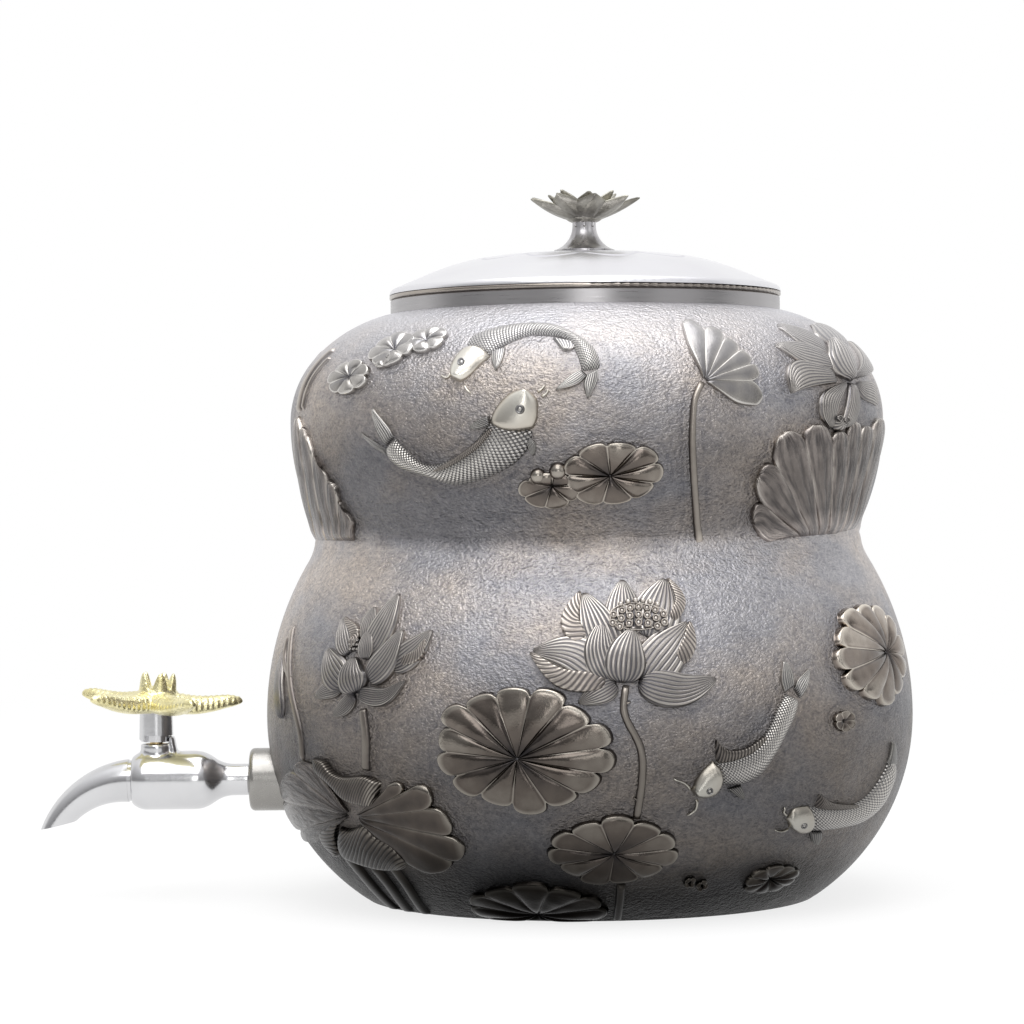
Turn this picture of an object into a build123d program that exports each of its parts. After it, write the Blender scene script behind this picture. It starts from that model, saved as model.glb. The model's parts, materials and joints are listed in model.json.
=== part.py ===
from build123d import *
import os
from math import acos, asin, atan2, cos, degrees, radians, sin, sqrt

# A gourd-shaped metal water dispenser: a two-bulb vessel, a lift-off domed lid
# with a lotus knob, and a quarter-turn ball tap with a starfish handle.
# Millimetres, +Z up. The origin is the centre of the flat base, the vessel's
# axis is Z, and the tap points along -X.

# Vessel
wall = 1.6
base_inset = 45.9
base_thickness = 2.4
solder_gap = 0.05
lower_belly_radius = 150.0
lower_belly_height = 84.3
waist_rise = 83.4
waist_arc = 22.0
waist_depth = 10.9
crease_depth = 0.5
crease_half_height = 1.6
upper_belly_inset = 12.3
upper_belly_rise = 52.9
shoulder_rise = 50.5
shoulder_arc = 44.4
shoulder_turn = 43.5
mouth_inset = 49.0
collar_wall = 2.0
collar_rise = 6.3
collar_lip = 0.6

# Lid
lid_seat_gap = 0.1
lid_overhang = 0.5
lid_rim_height = 2.1
lid_rim_round = 0.9
lid_sheet = 1.4
dome_edge_arc = 3.2
dome_slope = 22.6
dome_bend_arc = 104.0
dome_crown_inset = 46.7
dome_crown_arc = 460.0
skirt_clearance = 0.7
skirt_wall = 1.4
skirt_depth = 8.0

# Lid knob
stem_radius = 5.5
stem_height = 14.3
flange_radius = 14.2
flange_edge = 1.2
flare_arc = 12.0
flute_count = 8
flute_radius = 1.1
petal_count = 8
petal_sheet = 1.3
petal_reach = 26.6
petal_rise = 11.6
petal_width = 17.0
petal_seat_radius = 7.0
inner_petal_reach = 16.5
inner_petal_rise = 14.2
inner_petal_width = 11.0
inner_petal_seat_radius = 4.5
pod_radius = 6.0
pod_height = 5.4
seed_count = 7
seed_radius = 0.8
knob_bolt_radius = 2.0
knob_bolt_reach = 12.0
knob_bolt_head_radius = 4.0
knob_bolt_head_height = 2.4
knob_washer_radius = 7.0
knob_washer_sheet = 1.0
bolt_clearance = 0.15

# Tap, measured from the centre of its ball
tap_height = 54.8
boss_radius = 14.6
boss_length = 13.0
boss_edge_round = 2.4
valve_reach = 43.7
shank_radius = 6.6
shank_length = 10.0
seal_sheet = 1.0
thread_clearance = 0.05
passage_radius = 4.0
neck_radius = 7.4
neck_length = 7.5
barrel_radius = 13.7
barrel_back = 17.6
barrel_front = 4.4
barrel_nose = 7.0
nose_radius = 10.8
turret_radius = 7.35
turret_height = 17.3
turret_root_round = 1.6
turret_edge_chamfer = 0.6
ball_radius = 7.0
ball_bore_radius = 3.5
ball_clearance = 0.05
ball_slot_width = 2.6
ball_slot_depth = 2.3
seat_length = 4.0
seat_radius = 7.5
seat_bore_radius = 3.6
seat_clearance = 0.1
spigot_radius = 9.1
spindle_radius = 3.0
spindle_clearance = 0.08
spindle_top = 30.0
spindle_flange_radius = 4.8
spindle_flange_height = 1.5
ledge_height = 1.2
gland_bore_radius = 5.0
gland_height = 4.9
gland_slot_width = 1.4
gland_slot_depth = 1.0
ring_height = 1.8

# Spout
spout_arc = 41.5
spout_turn = 60.0
spout_radius = 10.2
spout_tip_radius = 5.9
spout_wall = 1.5
spout_joint_groove = 0.7
spout_groove_width = 1.6
tip_cut_tilt = 13.0

# Handle
ferrule_radius = 8.0
ferrule_taper = 0.4
ferrule_gap = 0.9
ferrule_height = 14.8
ferrule_edge_chamfer = 1.0
stop_height = 3.4
stop_half_angle = 32.0
stop_play_angle = 4.0
stop_radius = 8.6
stop_root_radius = 10.0
stop_clearance = 0.5
quarter_turn = 90.0
flat_depth = 0.6
set_screw_radius = 1.5
set_screw_height = 8.0
set_screw_recess = 0.5
star_arm_count = 5
star_turn = 12.0
star_root = 3.0
star_arm_length = 41.0
star_root_width = 15.0
star_root_height = 9.6
star_hub_radius = 8.6
star_droop = 1.0
star_curl = 6.5
crown_radius = 6.6
crown_lobe_radius = 2.7
crown_lobe_tip_radius = 0.7
crown_lobe_height = 9.0
crown_lean = 12.0

# Relief on both bulbs. It is drawn on upright planes that face the wall, and
# each group stands twice, on the front and on the back. Angles run from -Y
# towards +X. Shares are of the lower bulb's radius and belly height, or of the
# upper bulb's radius and height, and those of a group are of its own size.
relief_rise = 1.6
relief_sides = 2
leaf_notch_share = 0.1
# angle, height, half width, half height, lobes, lean
lower_leaf_shares = (
    (-12.8, 0.93, 0.26, 0.175, 14, -4),
    (2.9, 0.40, 0.183, 0.10, 12, 0),
    (-41.0, 0.58, 0.38, 0.16, 13, -10),
    (-13.4, 0.07, 0.205, 0.066, 12, 0),
    (64.0, 1.36, 0.18, 0.147, 12, 0),
    (46.3, 1.02, 0.045, 0.032, 6, 0),
    (38.1, 0.21, 0.085, 0.044, 9, 0),
)
upper_leaf_shares = (
    (3.3, 0.267, 0.155, 0.096, 9, 4),
    (-8.2, 0.199, 0.094, 0.059, 6, 0),
    (-52.5, 0.689, 0.09, 0.06, 7, 0),
    (-43.8, 0.795, 0.085, 0.056, 7, 0),
    (-35.1, 0.835, 0.074, 0.046, 6, 0),
)
# Fans of rounded blades: angle, height and size, then across, up and width of each blade
fan_size = 54.0
fan_hub_radius = 5.0
fan_shares = (
    (55.4, 0.0, 1.0, ((-0.88, 0.16, 0.30), (-0.98, 0.47, 0.36), (-0.76, 0.86, 0.30), (-0.47, 0.92, 0.26),
                      (-0.12, 0.95, 0.24), (0.2, 0.98, 0.22), (0.6, 0.93, 0.22))),
    (-78.4, 0.0, 1.05, ((0.8, 0.23, 0.2), (0.82, 0.43, 0.2), (0.66, 0.56, 0.2), (0.43, 0.85, 0.17), (0.24, 1.0, 0.15))),
    (20.5, 0.645, 0.46, ((0.0, 0.98, 0.3), (0.46, 0.86, 0.36), (0.7, 0.66, 0.36), (0.94, 0.32, 0.4), (0.97, -0.06, 0.4),
                         (0.88, -0.4, 0.34))),
)
# Lotus flowers: angle, height and size, then across, up and width of each petal
lotus_size = 45.0
lower_lotus_shares = (
    (4.3, 1.26, 1.0, ((0.1, 0.5, 0.33), (-0.19, 0.58, 0.29), (0.67, 0.57, 0.27), (0.91, 0.03, 0.29), (-0.87, 0.3, 0.29),
                      (-0.36, 0.86, 0.34), (0.04, 0.97, 0.36), (0.47, 0.97, 0.36), (-0.43, -0.19, 0.18))),
    (-43.6, 1.2, 1.0, ((0.3, 0.97, 0.22), (0.03, 0.84, 0.2), (-0.38, 0.73, 0.2), (0.8, 0.63, 0.2), (-0.54, 0.43, 0.22),
                       (-0.68, -0.07, 0.17), (-0.36, -0.24, 0.15), (0.6, 0.14, 0.2), (0.47, 0.63, 0.22), (-0.08, 0.35, 0.26))),
)
upper_lotus_shares = (
    (58.5, 0.648, 1.1, ((-0.42, 0.54, 0.22), (0.04, 0.52, 0.24), (0.45, 0.5, 0.22), (-0.8, 0.32, 0.2), (-0.8, -0.08, 0.2),
                        (0.6, -0.18, 0.18), (-0.41, -0.44, 0.24), (0.72, 0.3, 0.2), (0.0, 0.36, 0.28))),
)
# Stalks: angle and height, then across and up of each point along them
stalk_width = 3.2
stalk_length = 60.0
lower_stalk_shares = (
    (5.6, 0.925, ((-0.03, 0.5), (-0.05, 0.26), (0.06, 0.02), (0.07, -0.2), (0.04, -0.46))),
    (4.8, 0.13, ((0.0, 0.2), (0.0, 0.0), (0.0, -0.16))),
    (-41.7, 0.97, ((-0.02, 0.36), (0.0, 0.0), (-0.02, -0.24))),
)
upper_stalk_shares = (
    (18.7, 0.317, ((0.07, 0.57), (-0.01, 0.43), (-0.03, 0.14), (0.01, -0.18), (0.08, -0.52))),
)
# Fish: angle, height and size, across and up and half width along the back, then the tips of the tail
koi_length = 60.0
tail_share = 0.11
lower_koi_shares = (
    (24.6, 0.836, 1.0, ((-0.38, -0.19, 0.03), (-0.31, -0.17, 0.1), (-0.14, -0.07, 0.11), (0.0, 0.0, 0.1), (0.15, 0.1, 0.08),
                        (0.29, 0.24, 0.055), (0.38, 0.38, 0.045), (0.42, 0.48, 0.035)), ((0.37, 0.73), (0.61, 0.65))),
    (50.3, 0.522, 1.0, ((-0.56, -0.01, 0.03), (-0.48, -0.01, 0.075), (-0.2, -0.01, 0.085), (0.0, 0.0, 0.07),
                        (0.23, 0.04, 0.05), (0.41, 0.16, 0.035), (0.51, 0.33, 0.025)), ((0.52, 0.56), (0.62, 0.5))),
)
upper_koi_shares = (
    (-10.7, 0.868, 1.0, ((-0.58, -0.36, 0.03), (-0.54, -0.27, 0.08), (-0.46, -0.16, 0.085), (-0.35, -0.075, 0.075),
                         (-0.2, -0.02, 0.07), (0.0, 0.0, 0.065), (0.18, -0.03, 0.06), (0.32, -0.12, 0.06),
                         (0.39, -0.23, 0.05), (0.39, -0.32, 0.04)), ((0.16, -0.44), (0.39, -0.51))),
    (-25.4, 0.291, 1.0, ((0.61, 0.55, 0.05), (0.53, 0.45, 0.13), (0.43, 0.35, 0.15), (0.36, 0.2, 0.15), (0.21, 0.07, 0.12),
                         (0.0, 0.0, 0.09), (-0.21, 0.0, 0.075), (-0.38, 0.08, 0.06), (-0.5, 0.17, 0.05),
                         (-0.56, 0.23, 0.04)), ((-0.72, 0.47), (-0.88, 0.28))),
)

# One overrun carries every cutting tool past the faces that it cuts
overrun = 1.0

# Heights and radii that follow from the sizes above
base_radius = lower_belly_radius - base_inset
upper_belly_radius = lower_belly_radius - upper_belly_inset
mouth_radius = upper_belly_radius - mouth_inset
dome_crown_radius = mouth_radius - dome_crown_inset
waist_radius = upper_belly_radius - waist_depth
waist_height = lower_belly_height + waist_rise
upper_belly_height = waist_height + upper_belly_rise
mouth_height = upper_belly_height + shoulder_rise
collar_radius = mouth_radius + collar_wall
collar_top = mouth_height + collar_rise


def arc_through(rise, inset):
    """Radius of the arc that leaves a belly's widest ring upright and draws in by inset over rise."""
    return (rise * rise + inset * inset) / (2 * inset)


def arc_to_waist(belly_radius, rise):
    """Radius of the arc that leaves a belly's widest ring upright and runs smoothly into the waist arc."""
    lead = belly_radius - waist_radius - waist_arc
    return (lead * lead + rise * rise - waist_arc * waist_arc) / (2 * (belly_radius - waist_radius))


base_arc = arc_through(lower_belly_height, base_inset)
lower_crown_arc = arc_to_waist(lower_belly_radius, waist_rise)
upper_under_arc = arc_to_waist(upper_belly_radius, upper_belly_rise)

# Centres of the wall's arcs, as (radius, height)
base_centre = (lower_belly_radius - base_arc, lower_belly_height)
lower_crown_centre = (lower_belly_radius - lower_crown_arc, lower_belly_height)
waist_centre = (waist_radius + waist_arc, waist_height)
upper_under_centre = (upper_belly_radius - upper_under_arc, upper_belly_height)
shoulder_centre = (upper_belly_radius - shoulder_arc, upper_belly_height)


def arc_to_mouth():
    """Radius of the flatter arc that runs on smoothly from the shoulder arc and ends at the mouth."""
    turn = radians(shoulder_turn)
    run = mouth_radius - upper_belly_radius + shoulder_arc
    lead = run * cos(turn) + shoulder_rise * sin(turn)
    extra = (run * run + shoulder_rise * shoulder_rise - shoulder_arc * shoulder_arc) / 2
    return shoulder_arc + extra / (shoulder_arc - lead)


mouth_arc = arc_to_mouth()
mouth_centre = (
    shoulder_centre[0] - (mouth_arc - shoulder_arc) * cos(radians(shoulder_turn)),
    shoulder_centre[1] - (mouth_arc - shoulder_arc) * sin(radians(shoulder_turn)),
)


def bearing(start, end):
    """Angle in degrees of the line from one (radius, height) point to another."""
    return degrees(atan2(end[1] - start[1], end[0] - start[0]))


def swing(centre, radius, start, end):
    """The arc about a centre between two angles in degrees."""
    return CenterArc(centre, radius, start, end - start)


def turned(outline):
    """The solid that a closed (radius, height) outline makes when it is turned about Z."""
    return revolve(Plane.XZ * make_face(outline), Axis.Z)


def ring(inner, outer, low, high):
    """A plain ring about Z."""
    return turned(Polyline((inner, low), (outer, low), (outer, high), (inner, high), close=True))


def bar(radius, start, end):
    """A cylinder along X between two places."""
    return Pos((start + end) / 2, 0, 0) * Rot(0, 90, 0) * Cylinder(radius, abs(end - start))


def joined(solids):
    """One solid or group made from several, added one after another."""
    whole = solids[0]
    for solid in solids[1:]:
        whole += solid
    return whole


def post(radius, low, high):
    """A cylinder along Z between two heights."""
    return Pos(0, 0, (low + high) / 2) * Cylinder(radius, high - low)


def pattern(solid, count, turn=0.0):
    """Copies of a solid, evenly spaced about Z and joined into one."""
    whole = Rot(0, 0, turn) * solid
    for i in range(1, count):
        whole += Rot(0, 0, turn + 360 / count * i) * solid
    return whole


# The vessel's wall line

def upper_wall_arcs(inset):
    """The upper bulb's wall line from the mouth down to the waist, inset from the outer face."""
    mouth_angle = degrees(acos((mouth_radius - mouth_centre[0]) / (mouth_arc - inset)))
    under_angle = bearing(upper_under_centre, waist_centre)
    return [
        swing(mouth_centre, mouth_arc - inset, mouth_angle, shoulder_turn),
        swing(shoulder_centre, shoulder_arc - inset, shoulder_turn, 0),
        swing(upper_under_centre, upper_under_arc - inset, 0, under_angle),
        swing(waist_centre, waist_arc + inset, under_angle + 180, 180),
    ]


def lower_wall_arcs(inset):
    """The lower bulb's wall line from the waist down to the base, inset from the outer face."""
    crown_angle = bearing(lower_crown_centre, waist_centre)
    base_angle = degrees(asin(lower_belly_height / (base_arc - inset)))
    return [
        swing(waist_centre, waist_arc + inset, 180, crown_angle + 180),
        swing(lower_crown_centre, lower_crown_arc - inset, crown_angle, 0),
        swing(base_centre, base_arc - inset, 0, -base_angle),
    ]


def bulb(arcs):
    """A shell of the wall's thickness between the outer and inner runs of one bulb's arcs."""
    outer, inner = arcs(0.0), arcs(wall)
    top = Line(outer[0] @ 0, inner[0] @ 0)
    bottom = Line(outer[-1] @ 1, inner[-1] @ 1)
    return turned([*outer, *inner, top, bottom])


def filled_upper_bulb():
    """The upper bulb as a solid block out to its outer face."""
    outer = upper_wall_arcs(0.0)
    top, bottom = outer[0] @ 0, outer[-1] @ 1
    return turned([*outer, Polyline(top, (0, top.Y), (0, bottom.Y), bottom)])


def filled_lower_bulb():
    """The lower bulb as a solid block out to its outer face."""
    outer = lower_wall_arcs(0.0)
    top, bottom = outer[0] @ 0, outer[-1] @ 1
    return turned([*outer, Polyline(top, (0, top.Y), (0, bottom.Y), bottom)])


def wall_radius(height, inset=0.0):
    """Radius of the lower bulb's wall line below its widest ring."""
    reach = base_arc - inset
    return base_centre[0] + sqrt(reach * reach - (height - lower_belly_height) ** 2)


boss_face = -wall_radius(tap_height) - boss_length
valve_x = boss_face - valve_reach


def on_tap(solid):
    """Places a solid built about the ball's centre, with +X out along the tap, on the vessel."""
    return Pos(valve_x, 0, tap_height) * Rot(0, 0, 180) * solid


# Vessel pieces

def waist_crease():
    """Ring that presses the crease into the waist, where the two bulbs meet."""
    tip = waist_radius - crease_depth
    back = waist_radius + crease_half_height
    slope = (back - tip) / crease_depth * crease_half_height
    return turned(
        Polyline((tip, waist_height), (back, waist_height + slope), (back, waist_height - slope), close=True)
    )


def lower_shell():
    """Lower bulb of sheet metal, open at the waist and the base, with the tap's water hole."""
    hole = Pos(0, 0, tap_height) * bar(passage_radius, -lower_belly_radius - overrun, 0)
    return bulb(lower_wall_arcs) - hole - waist_crease()


def upper_shell():
    """Upper bulb of sheet metal, butted on the lower one at the waist and open at the mouth."""
    return bulb(upper_wall_arcs) - waist_crease()


def base_plate():
    """Flat disc soldered inside the foot of the lower bulb, flush with its edge."""
    foot = wall_radius(0, wall) - solder_gap
    top = wall_radius(base_thickness, wall) - solder_gap
    return turned(Polyline((0, 0), (foot, 0), (top, base_thickness), (0, base_thickness), close=True))


# Relief pieces

def relief_skin(arcs):
    """The thin skin over one bulb from which its relief is cut."""
    outer, inner = arcs(-relief_rise), arcs(0.0)
    top = Line(outer[0] @ 0, inner[0] @ 0)
    bottom = Line(outer[-1] @ 1, inner[-1] @ 1)
    return turned([*outer, *inner, top, bottom])


def raised(angle, height, outline, skin):
    """The part of the skin behind an upright outline that faces the wall at an angle and height."""
    facing = Rot(0, 0, angle) * Pos(0, 0, height) * Rot(90, 0, 0)
    return (facing * extrude(outline, lower_belly_radius + relief_rise + overrun)) & skin


def leaf_outline(half_width, half_height, lobes, lean):
    """Closed outline of a round leaf with shallow notches between its lobes."""
    def rim(step, share):
        turn = radians(360 * step / lobes)
        across, up = half_width * share * cos(turn), half_height * share * sin(turn)
        tilt = radians(lean)
        return (across * cos(tilt) - up * sin(tilt), across * sin(tilt) + up * cos(tilt))

    notch = 1 - leaf_notch_share
    return [ThreePointArc(rim(i, notch), rim(i + 0.5, 1), rim(i + 1, notch)) for i in range(lobes)]


def petal_outline(tip, width):
    """Closed outline of a pointed petal from its foot at the origin to its tip."""
    side = width / 2 / sqrt(tip[0] ** 2 + tip[1] ** 2)
    left = (tip[0] / 2 - tip[1] * side, tip[1] / 2 + tip[0] * side)
    right = (tip[0] / 2 + tip[1] * side, tip[1] / 2 - tip[0] * side)
    return [ThreePointArc((0, 0), left, tip), ThreePointArc(tip, right, (0, 0))]


def blade_outline(tip, width):
    """Closed outline of a blade that widens from its foot at the origin to a round end."""
    length = sqrt(tip[0] ** 2 + tip[1] ** 2)
    along, side = (1 - width / 2 / length), width / 2 / length
    left = (tip[0] * along - tip[1] * side, tip[1] * along + tip[0] * side)
    right = (tip[0] * along + tip[1] * side, tip[1] * along - tip[0] * side)
    return [Line((0, 0), right), ThreePointArc(right, tip, left), Line(left, (0, 0))]


def ribbon_outline(points, half_widths):
    """Closed outline of a band that follows points, with its own half width at each."""
    left, right = [], []
    last = len(points) - 1
    for i, (across, up) in enumerate(points):
        before, after = points[max(i - 1, 0)], points[min(i + 1, last)]
        run, rise = after[0] - before[0], after[1] - before[1]
        reach = half_widths[i] / sqrt(run * run + rise * rise)
        left.append((across - rise * reach, up + run * reach))
        right.append((across + rise * reach, up - run * reach))
    return [Spline(*left), Line(left[-1], right[-1]), Spline(*reversed(right)), Line(right[0], left[0])]


def lower_place(share):
    """Height on the lower bulb."""
    return share * lower_belly_height


def upper_place(share):
    """Height on the upper bulb."""
    return waist_height + share * (mouth_height - waist_height)


def both_sides(front):
    """The same relief on each side of the vessel, as one group of separate solids."""
    turns = [Rot(0, 0, 360 / relief_sides * i) * front for i in range(relief_sides)]
    return Compound([solid for turned_relief in turns for solid in turned_relief.solids()])


def front_leaves():
    """The front's raised leaves: round ones with lobed rims, and fans of blades at the waist."""
    lower_skin, upper_skin = relief_skin(lower_wall_arcs), relief_skin(upper_wall_arcs)
    pads = []
    for angle, height, wide, tall, lobes, lean in lower_leaf_shares:
        outline = make_face(leaf_outline(wide * lower_belly_radius, tall * lower_belly_radius, lobes, lean))
        pads.append(raised(angle, lower_place(height), outline, lower_skin))
    for angle, height, wide, tall, lobes, lean in upper_leaf_shares:
        outline = make_face(leaf_outline(wide * upper_belly_radius, tall * upper_belly_radius, lobes, lean))
        pads.append(raised(angle, upper_place(height), outline, upper_skin))
    for angle, height, size, blades in fan_shares:
        fan = [Circle(size * fan_hub_radius)]
        for across, up, width in blades:
            reach = size * fan_size
            fan.append(make_face(blade_outline((across * reach, up * reach), width * reach)))
        pads.append(raised(angle, upper_place(height), joined(fan), upper_skin))
    return Compound([solid for pad in pads for solid in pad.solids()])


leaves = front_leaves()


def leaf_relief():
    """Raised lotus leaves on both sides."""
    return both_sides(leaves)


def lotus_relief():
    """Raised lotus flowers on their stalks, cut where the leaves lie over them."""
    pads = []
    rows = (
        (lower_lotus_shares, lower_stalk_shares, lower_place, relief_skin(lower_wall_arcs)),
        (upper_lotus_shares, upper_stalk_shares, upper_place, relief_skin(upper_wall_arcs)),
    )
    for flowers, stalks, place, skin in rows:
        for angle, height, size, petals in flowers:
            flower = []
            for across, up, width in petals:
                reach = size * lotus_size
                flower.append(make_face(petal_outline((across * reach, up * reach), width * reach)))
            pads.append(raised(angle, place(height), joined(flower), skin))
        for angle, height, points in stalks:
            line = [(across * stalk_length, up * stalk_length) for across, up in points]
            outline = make_face(ribbon_outline(line, [stalk_width / 2] * len(line)))
            pads.append(raised(angle, place(height), outline, skin))
    return both_sides(joined(pads) - leaves)


def koi_relief():
    """Raised koi, each a tapering body with a forked tail."""
    pads = []
    rows = (
        (lower_koi_shares, lower_place, relief_skin(lower_wall_arcs)),
        (upper_koi_shares, upper_place, relief_skin(upper_wall_arcs)),
    )
    for fish, place, skin in rows:
        for angle, height, size, back, tips in fish:
            reach = size * koi_length
            line = [(across * reach, up * reach) for across, up, half in back]
            parts = [make_face(ribbon_outline(line, [half * reach for across, up, half in back]))]
            root = line[-2]
            for across, up in tips:
                tip = (across * reach - root[0], up * reach - root[1])
                parts.append(Pos(root[0], root[1], 0) * make_face(petal_outline(tip, tail_share * reach)))
            pads.append(raised(angle, place(height), joined(parts), skin))
    return both_sides(Compound([solid for pad in pads for solid in pad.solids()]))


def neck_collar():
    """Smooth band that stands on the shoulder round the mouth and carries the lid."""
    band = ring(mouth_radius, collar_radius, upper_belly_height, collar_top)
    band = chamfer(band.edges().group_by(Axis.Z)[-1], collar_lip)
    return band - filled_upper_bulb()


def tap_boss():
    """Turned socket soldered on the lower bulb, its inner end cut to the wall's curve."""
    block = bar(boss_radius, boss_face, -base_radius)
    face_edge = block.edges().group_by(Axis.X)[0]
    block = fillet(face_edge, boss_edge_round)
    socket_end = boss_face + shank_length + seal_sheet
    block -= bar(shank_radius + thread_clearance, boss_face - overrun, socket_end)
    block -= bar(passage_radius, boss_face, 0)
    return Pos(0, 0, tap_height) * block - filled_lower_bulb()


# Lid pieces

rim_bottom = collar_top + lid_seat_gap
rim_top = rim_bottom + lid_rim_height
lid_radius = collar_radius + lid_overhang
skirt_outer = mouth_radius - skirt_clearance
skirt_inner = skirt_outer - skirt_wall


def dome_line(inset):
    """The dome's line from its foot on the rim up to the axis, inset from the outer face."""
    edge_centre = (lid_radius - dome_edge_arc, rim_top)
    crown_angle = degrees(asin(dome_crown_radius / dome_crown_arc))
    lean = radians(90 - dome_slope)
    bend_reach = dome_bend_arc * (cos(lean) - sin(radians(crown_angle)))
    bend_end = dome_crown_radius + bend_reach
    edge_end = edge_centre[0] + dome_edge_arc * cos(lean)
    rise = (edge_end - bend_end) * sin(radians(dome_slope)) / cos(radians(dome_slope))
    bend_centre = (
        bend_end - dome_bend_arc * cos(lean),
        rim_top + dome_edge_arc * sin(lean) + rise - dome_bend_arc * sin(lean),
    )
    fall = dome_crown_arc - dome_bend_arc
    crown_centre = (0, bend_centre[1] - fall * cos(radians(crown_angle)))
    edge = swing(edge_centre, dome_edge_arc - inset, 0, 90 - dome_slope)
    bend = swing(bend_centre, dome_bend_arc - inset, 90 - dome_slope, 90 - crown_angle)
    crown = swing(crown_centre, dome_crown_arc - inset, 90 - crown_angle, 90)
    return [edge, Line(edge @ 1, bend @ 0), bend, crown]


dome_top = (dome_line(0.0)[-1] @ 1).Y
crown_under_arc = dome_crown_arc - lid_sheet
crown_fall = crown_under_arc - sqrt(crown_under_arc * crown_under_arc - knob_washer_radius * knob_washer_radius)
washer_top = dome_top - lid_sheet - crown_fall
washer_low = washer_top - knob_washer_sheet


def lid_dome():
    """Domed sheet of the lid, drilled for the knob's bolt."""
    outer, inner = dome_line(0.0), dome_line(lid_sheet)
    sheet = turned([*outer, *inner, Line(outer[0] @ 0, inner[0] @ 0), Line(outer[-1] @ 1, inner[-1] @ 1)])
    return sheet - post(knob_bolt_radius + bolt_clearance, rim_top, dome_top + overrun)


def filled_dome():
    """The dome as a solid block, used to seat the knob on its crown."""
    outer = dome_line(0.0)
    return turned([*outer, Polyline(outer[-1] @ 1, (0, rim_top), outer[0] @ 0)])


def lid_rim():
    """Flat ring with a rounded edge that closes the dome's foot and rests on the collar."""
    band = ring(skirt_inner, lid_radius, rim_bottom, rim_top)
    outer_edges = band.edges().filter_by(GeomType.CIRCLE).sort_by(lambda edge: edge.radius)[-2:]
    return fillet(outer_edges, lid_rim_round)


def lid_skirt():
    """Plug ring under the rim that centres the lid in the mouth."""
    return ring(skirt_inner, skirt_outer, rim_bottom - skirt_depth, rim_bottom)


# Knob pieces

stem_top = dome_top + stem_height


def knob_stem():
    """Flared and fluted stem that stands on the lid's crown, tapped for the bolt from below."""
    reach = flange_radius - stem_radius
    depth = sqrt(flare_arc * flare_arc - (flare_arc - reach) ** 2)
    flare_centre = (stem_radius + flare_arc, dome_top + flange_edge + depth)
    foot_angle = degrees(asin(depth / flare_arc))
    flare = swing(flare_centre, flare_arc, 180, 180 + foot_angle)
    outline = Polyline(
        flare @ 0,
        (stem_radius, stem_top),
        (0, stem_top),
        (0, dome_top - dome_edge_arc),
        (flange_radius, dome_top - dome_edge_arc),
        flare @ 1,
    )
    stem = turned([flare, outline]) - filled_dome()
    flute = Pos(stem_radius + flute_radius / 2, 0, 0) * post(flute_radius, flare_centre[1], stem_top + overrun)
    flute += Pos(stem_radius + flute_radius / 2, 0, flare_centre[1]) * Sphere(flute_radius)
    stem -= pattern(flute, flute_count)
    return stem - post(knob_bolt_radius, rim_top, dome_top + knob_bolt_reach + overrun)


def petal_prism(reach, width, height):
    """An upright prism whose plan is one pointed petal, from the axis out along X."""
    middle, half = reach / 2, width / 2
    sides = [
        ThreePointArc((0, 0), (middle, half), (reach, 0)),
        ThreePointArc((0, 0), (middle, -half), (reach, 0)),
    ]
    return extrude(make_face(sides), height)


def petal_row(reach, rise, width, seat_radius, turn):
    """One row of cupped petals: a thin bowl cut to the plan of the petals."""
    reach_in = reach - seat_radius
    bowl_arc = arc_through(reach_in, rise)
    centre = (seat_radius, bowl_arc)
    lip_angle = degrees(acos(1 - rise / bowl_arc))
    under = swing(centre, bowl_arc, -90, lip_angle - 90)
    upper = swing(centre, bowl_arc - petal_sheet, -90, lip_angle - 90)
    floor = Polyline(under @ 0, (0, 0), (0, petal_sheet), upper @ 0)
    bowl = turned([under, upper, floor, Line(under @ 1, upper @ 1)])
    blade = petal_prism(reach, width, rise + overrun)
    return bowl & pattern(blade, petal_count, turn)


def knob_flower():
    """Open lotus of two rows of cupped petals round a seed pod, on top of the stem."""
    half_step = 180 / petal_count
    flower = petal_row(petal_reach, petal_rise, petal_width, petal_seat_radius, 0.0)
    inner_row = petal_row(
        inner_petal_reach, inner_petal_rise, inner_petal_width, inner_petal_seat_radius, half_step
    )
    flower += Pos(0, 0, petal_sheet / 2) * inner_row
    pod = turned(
        Polyline((0, 0), (pod_radius / 2, 0), (pod_radius, pod_height), (0, pod_height), close=True)
    )
    flower += pod
    flower += Pos(0, 0, pod_height) * Sphere(seed_radius)
    flower += pattern(Pos(pod_radius * 2 / 3, 0, pod_height) * Sphere(seed_radius), seed_count - 1)
    return Pos(0, 0, stem_top) * flower


def knob_washer():
    """Washer that spreads the bolt's pull under the crown."""
    return ring(knob_bolt_radius + bolt_clearance, knob_washer_radius, washer_low, washer_top)


def knob_bolt():
    """Pan-head bolt that holds the knob from inside the lid."""
    shank = post(knob_bolt_radius - thread_clearance, washer_low, dome_top + knob_bolt_reach)
    head = post(knob_bolt_head_radius, washer_low - knob_bolt_head_height, washer_low)
    head = fillet(head.edges().group_by(Axis.Z)[0], knob_bolt_head_height / 2)
    return shank + head


# Tap pieces, built about the ball's centre with +X out along the tap

cavity_end = ball_radius + overrun
nose = barrel_front + barrel_nose
ledge_top = seat_radius + seat_clearance + ledge_height


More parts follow.
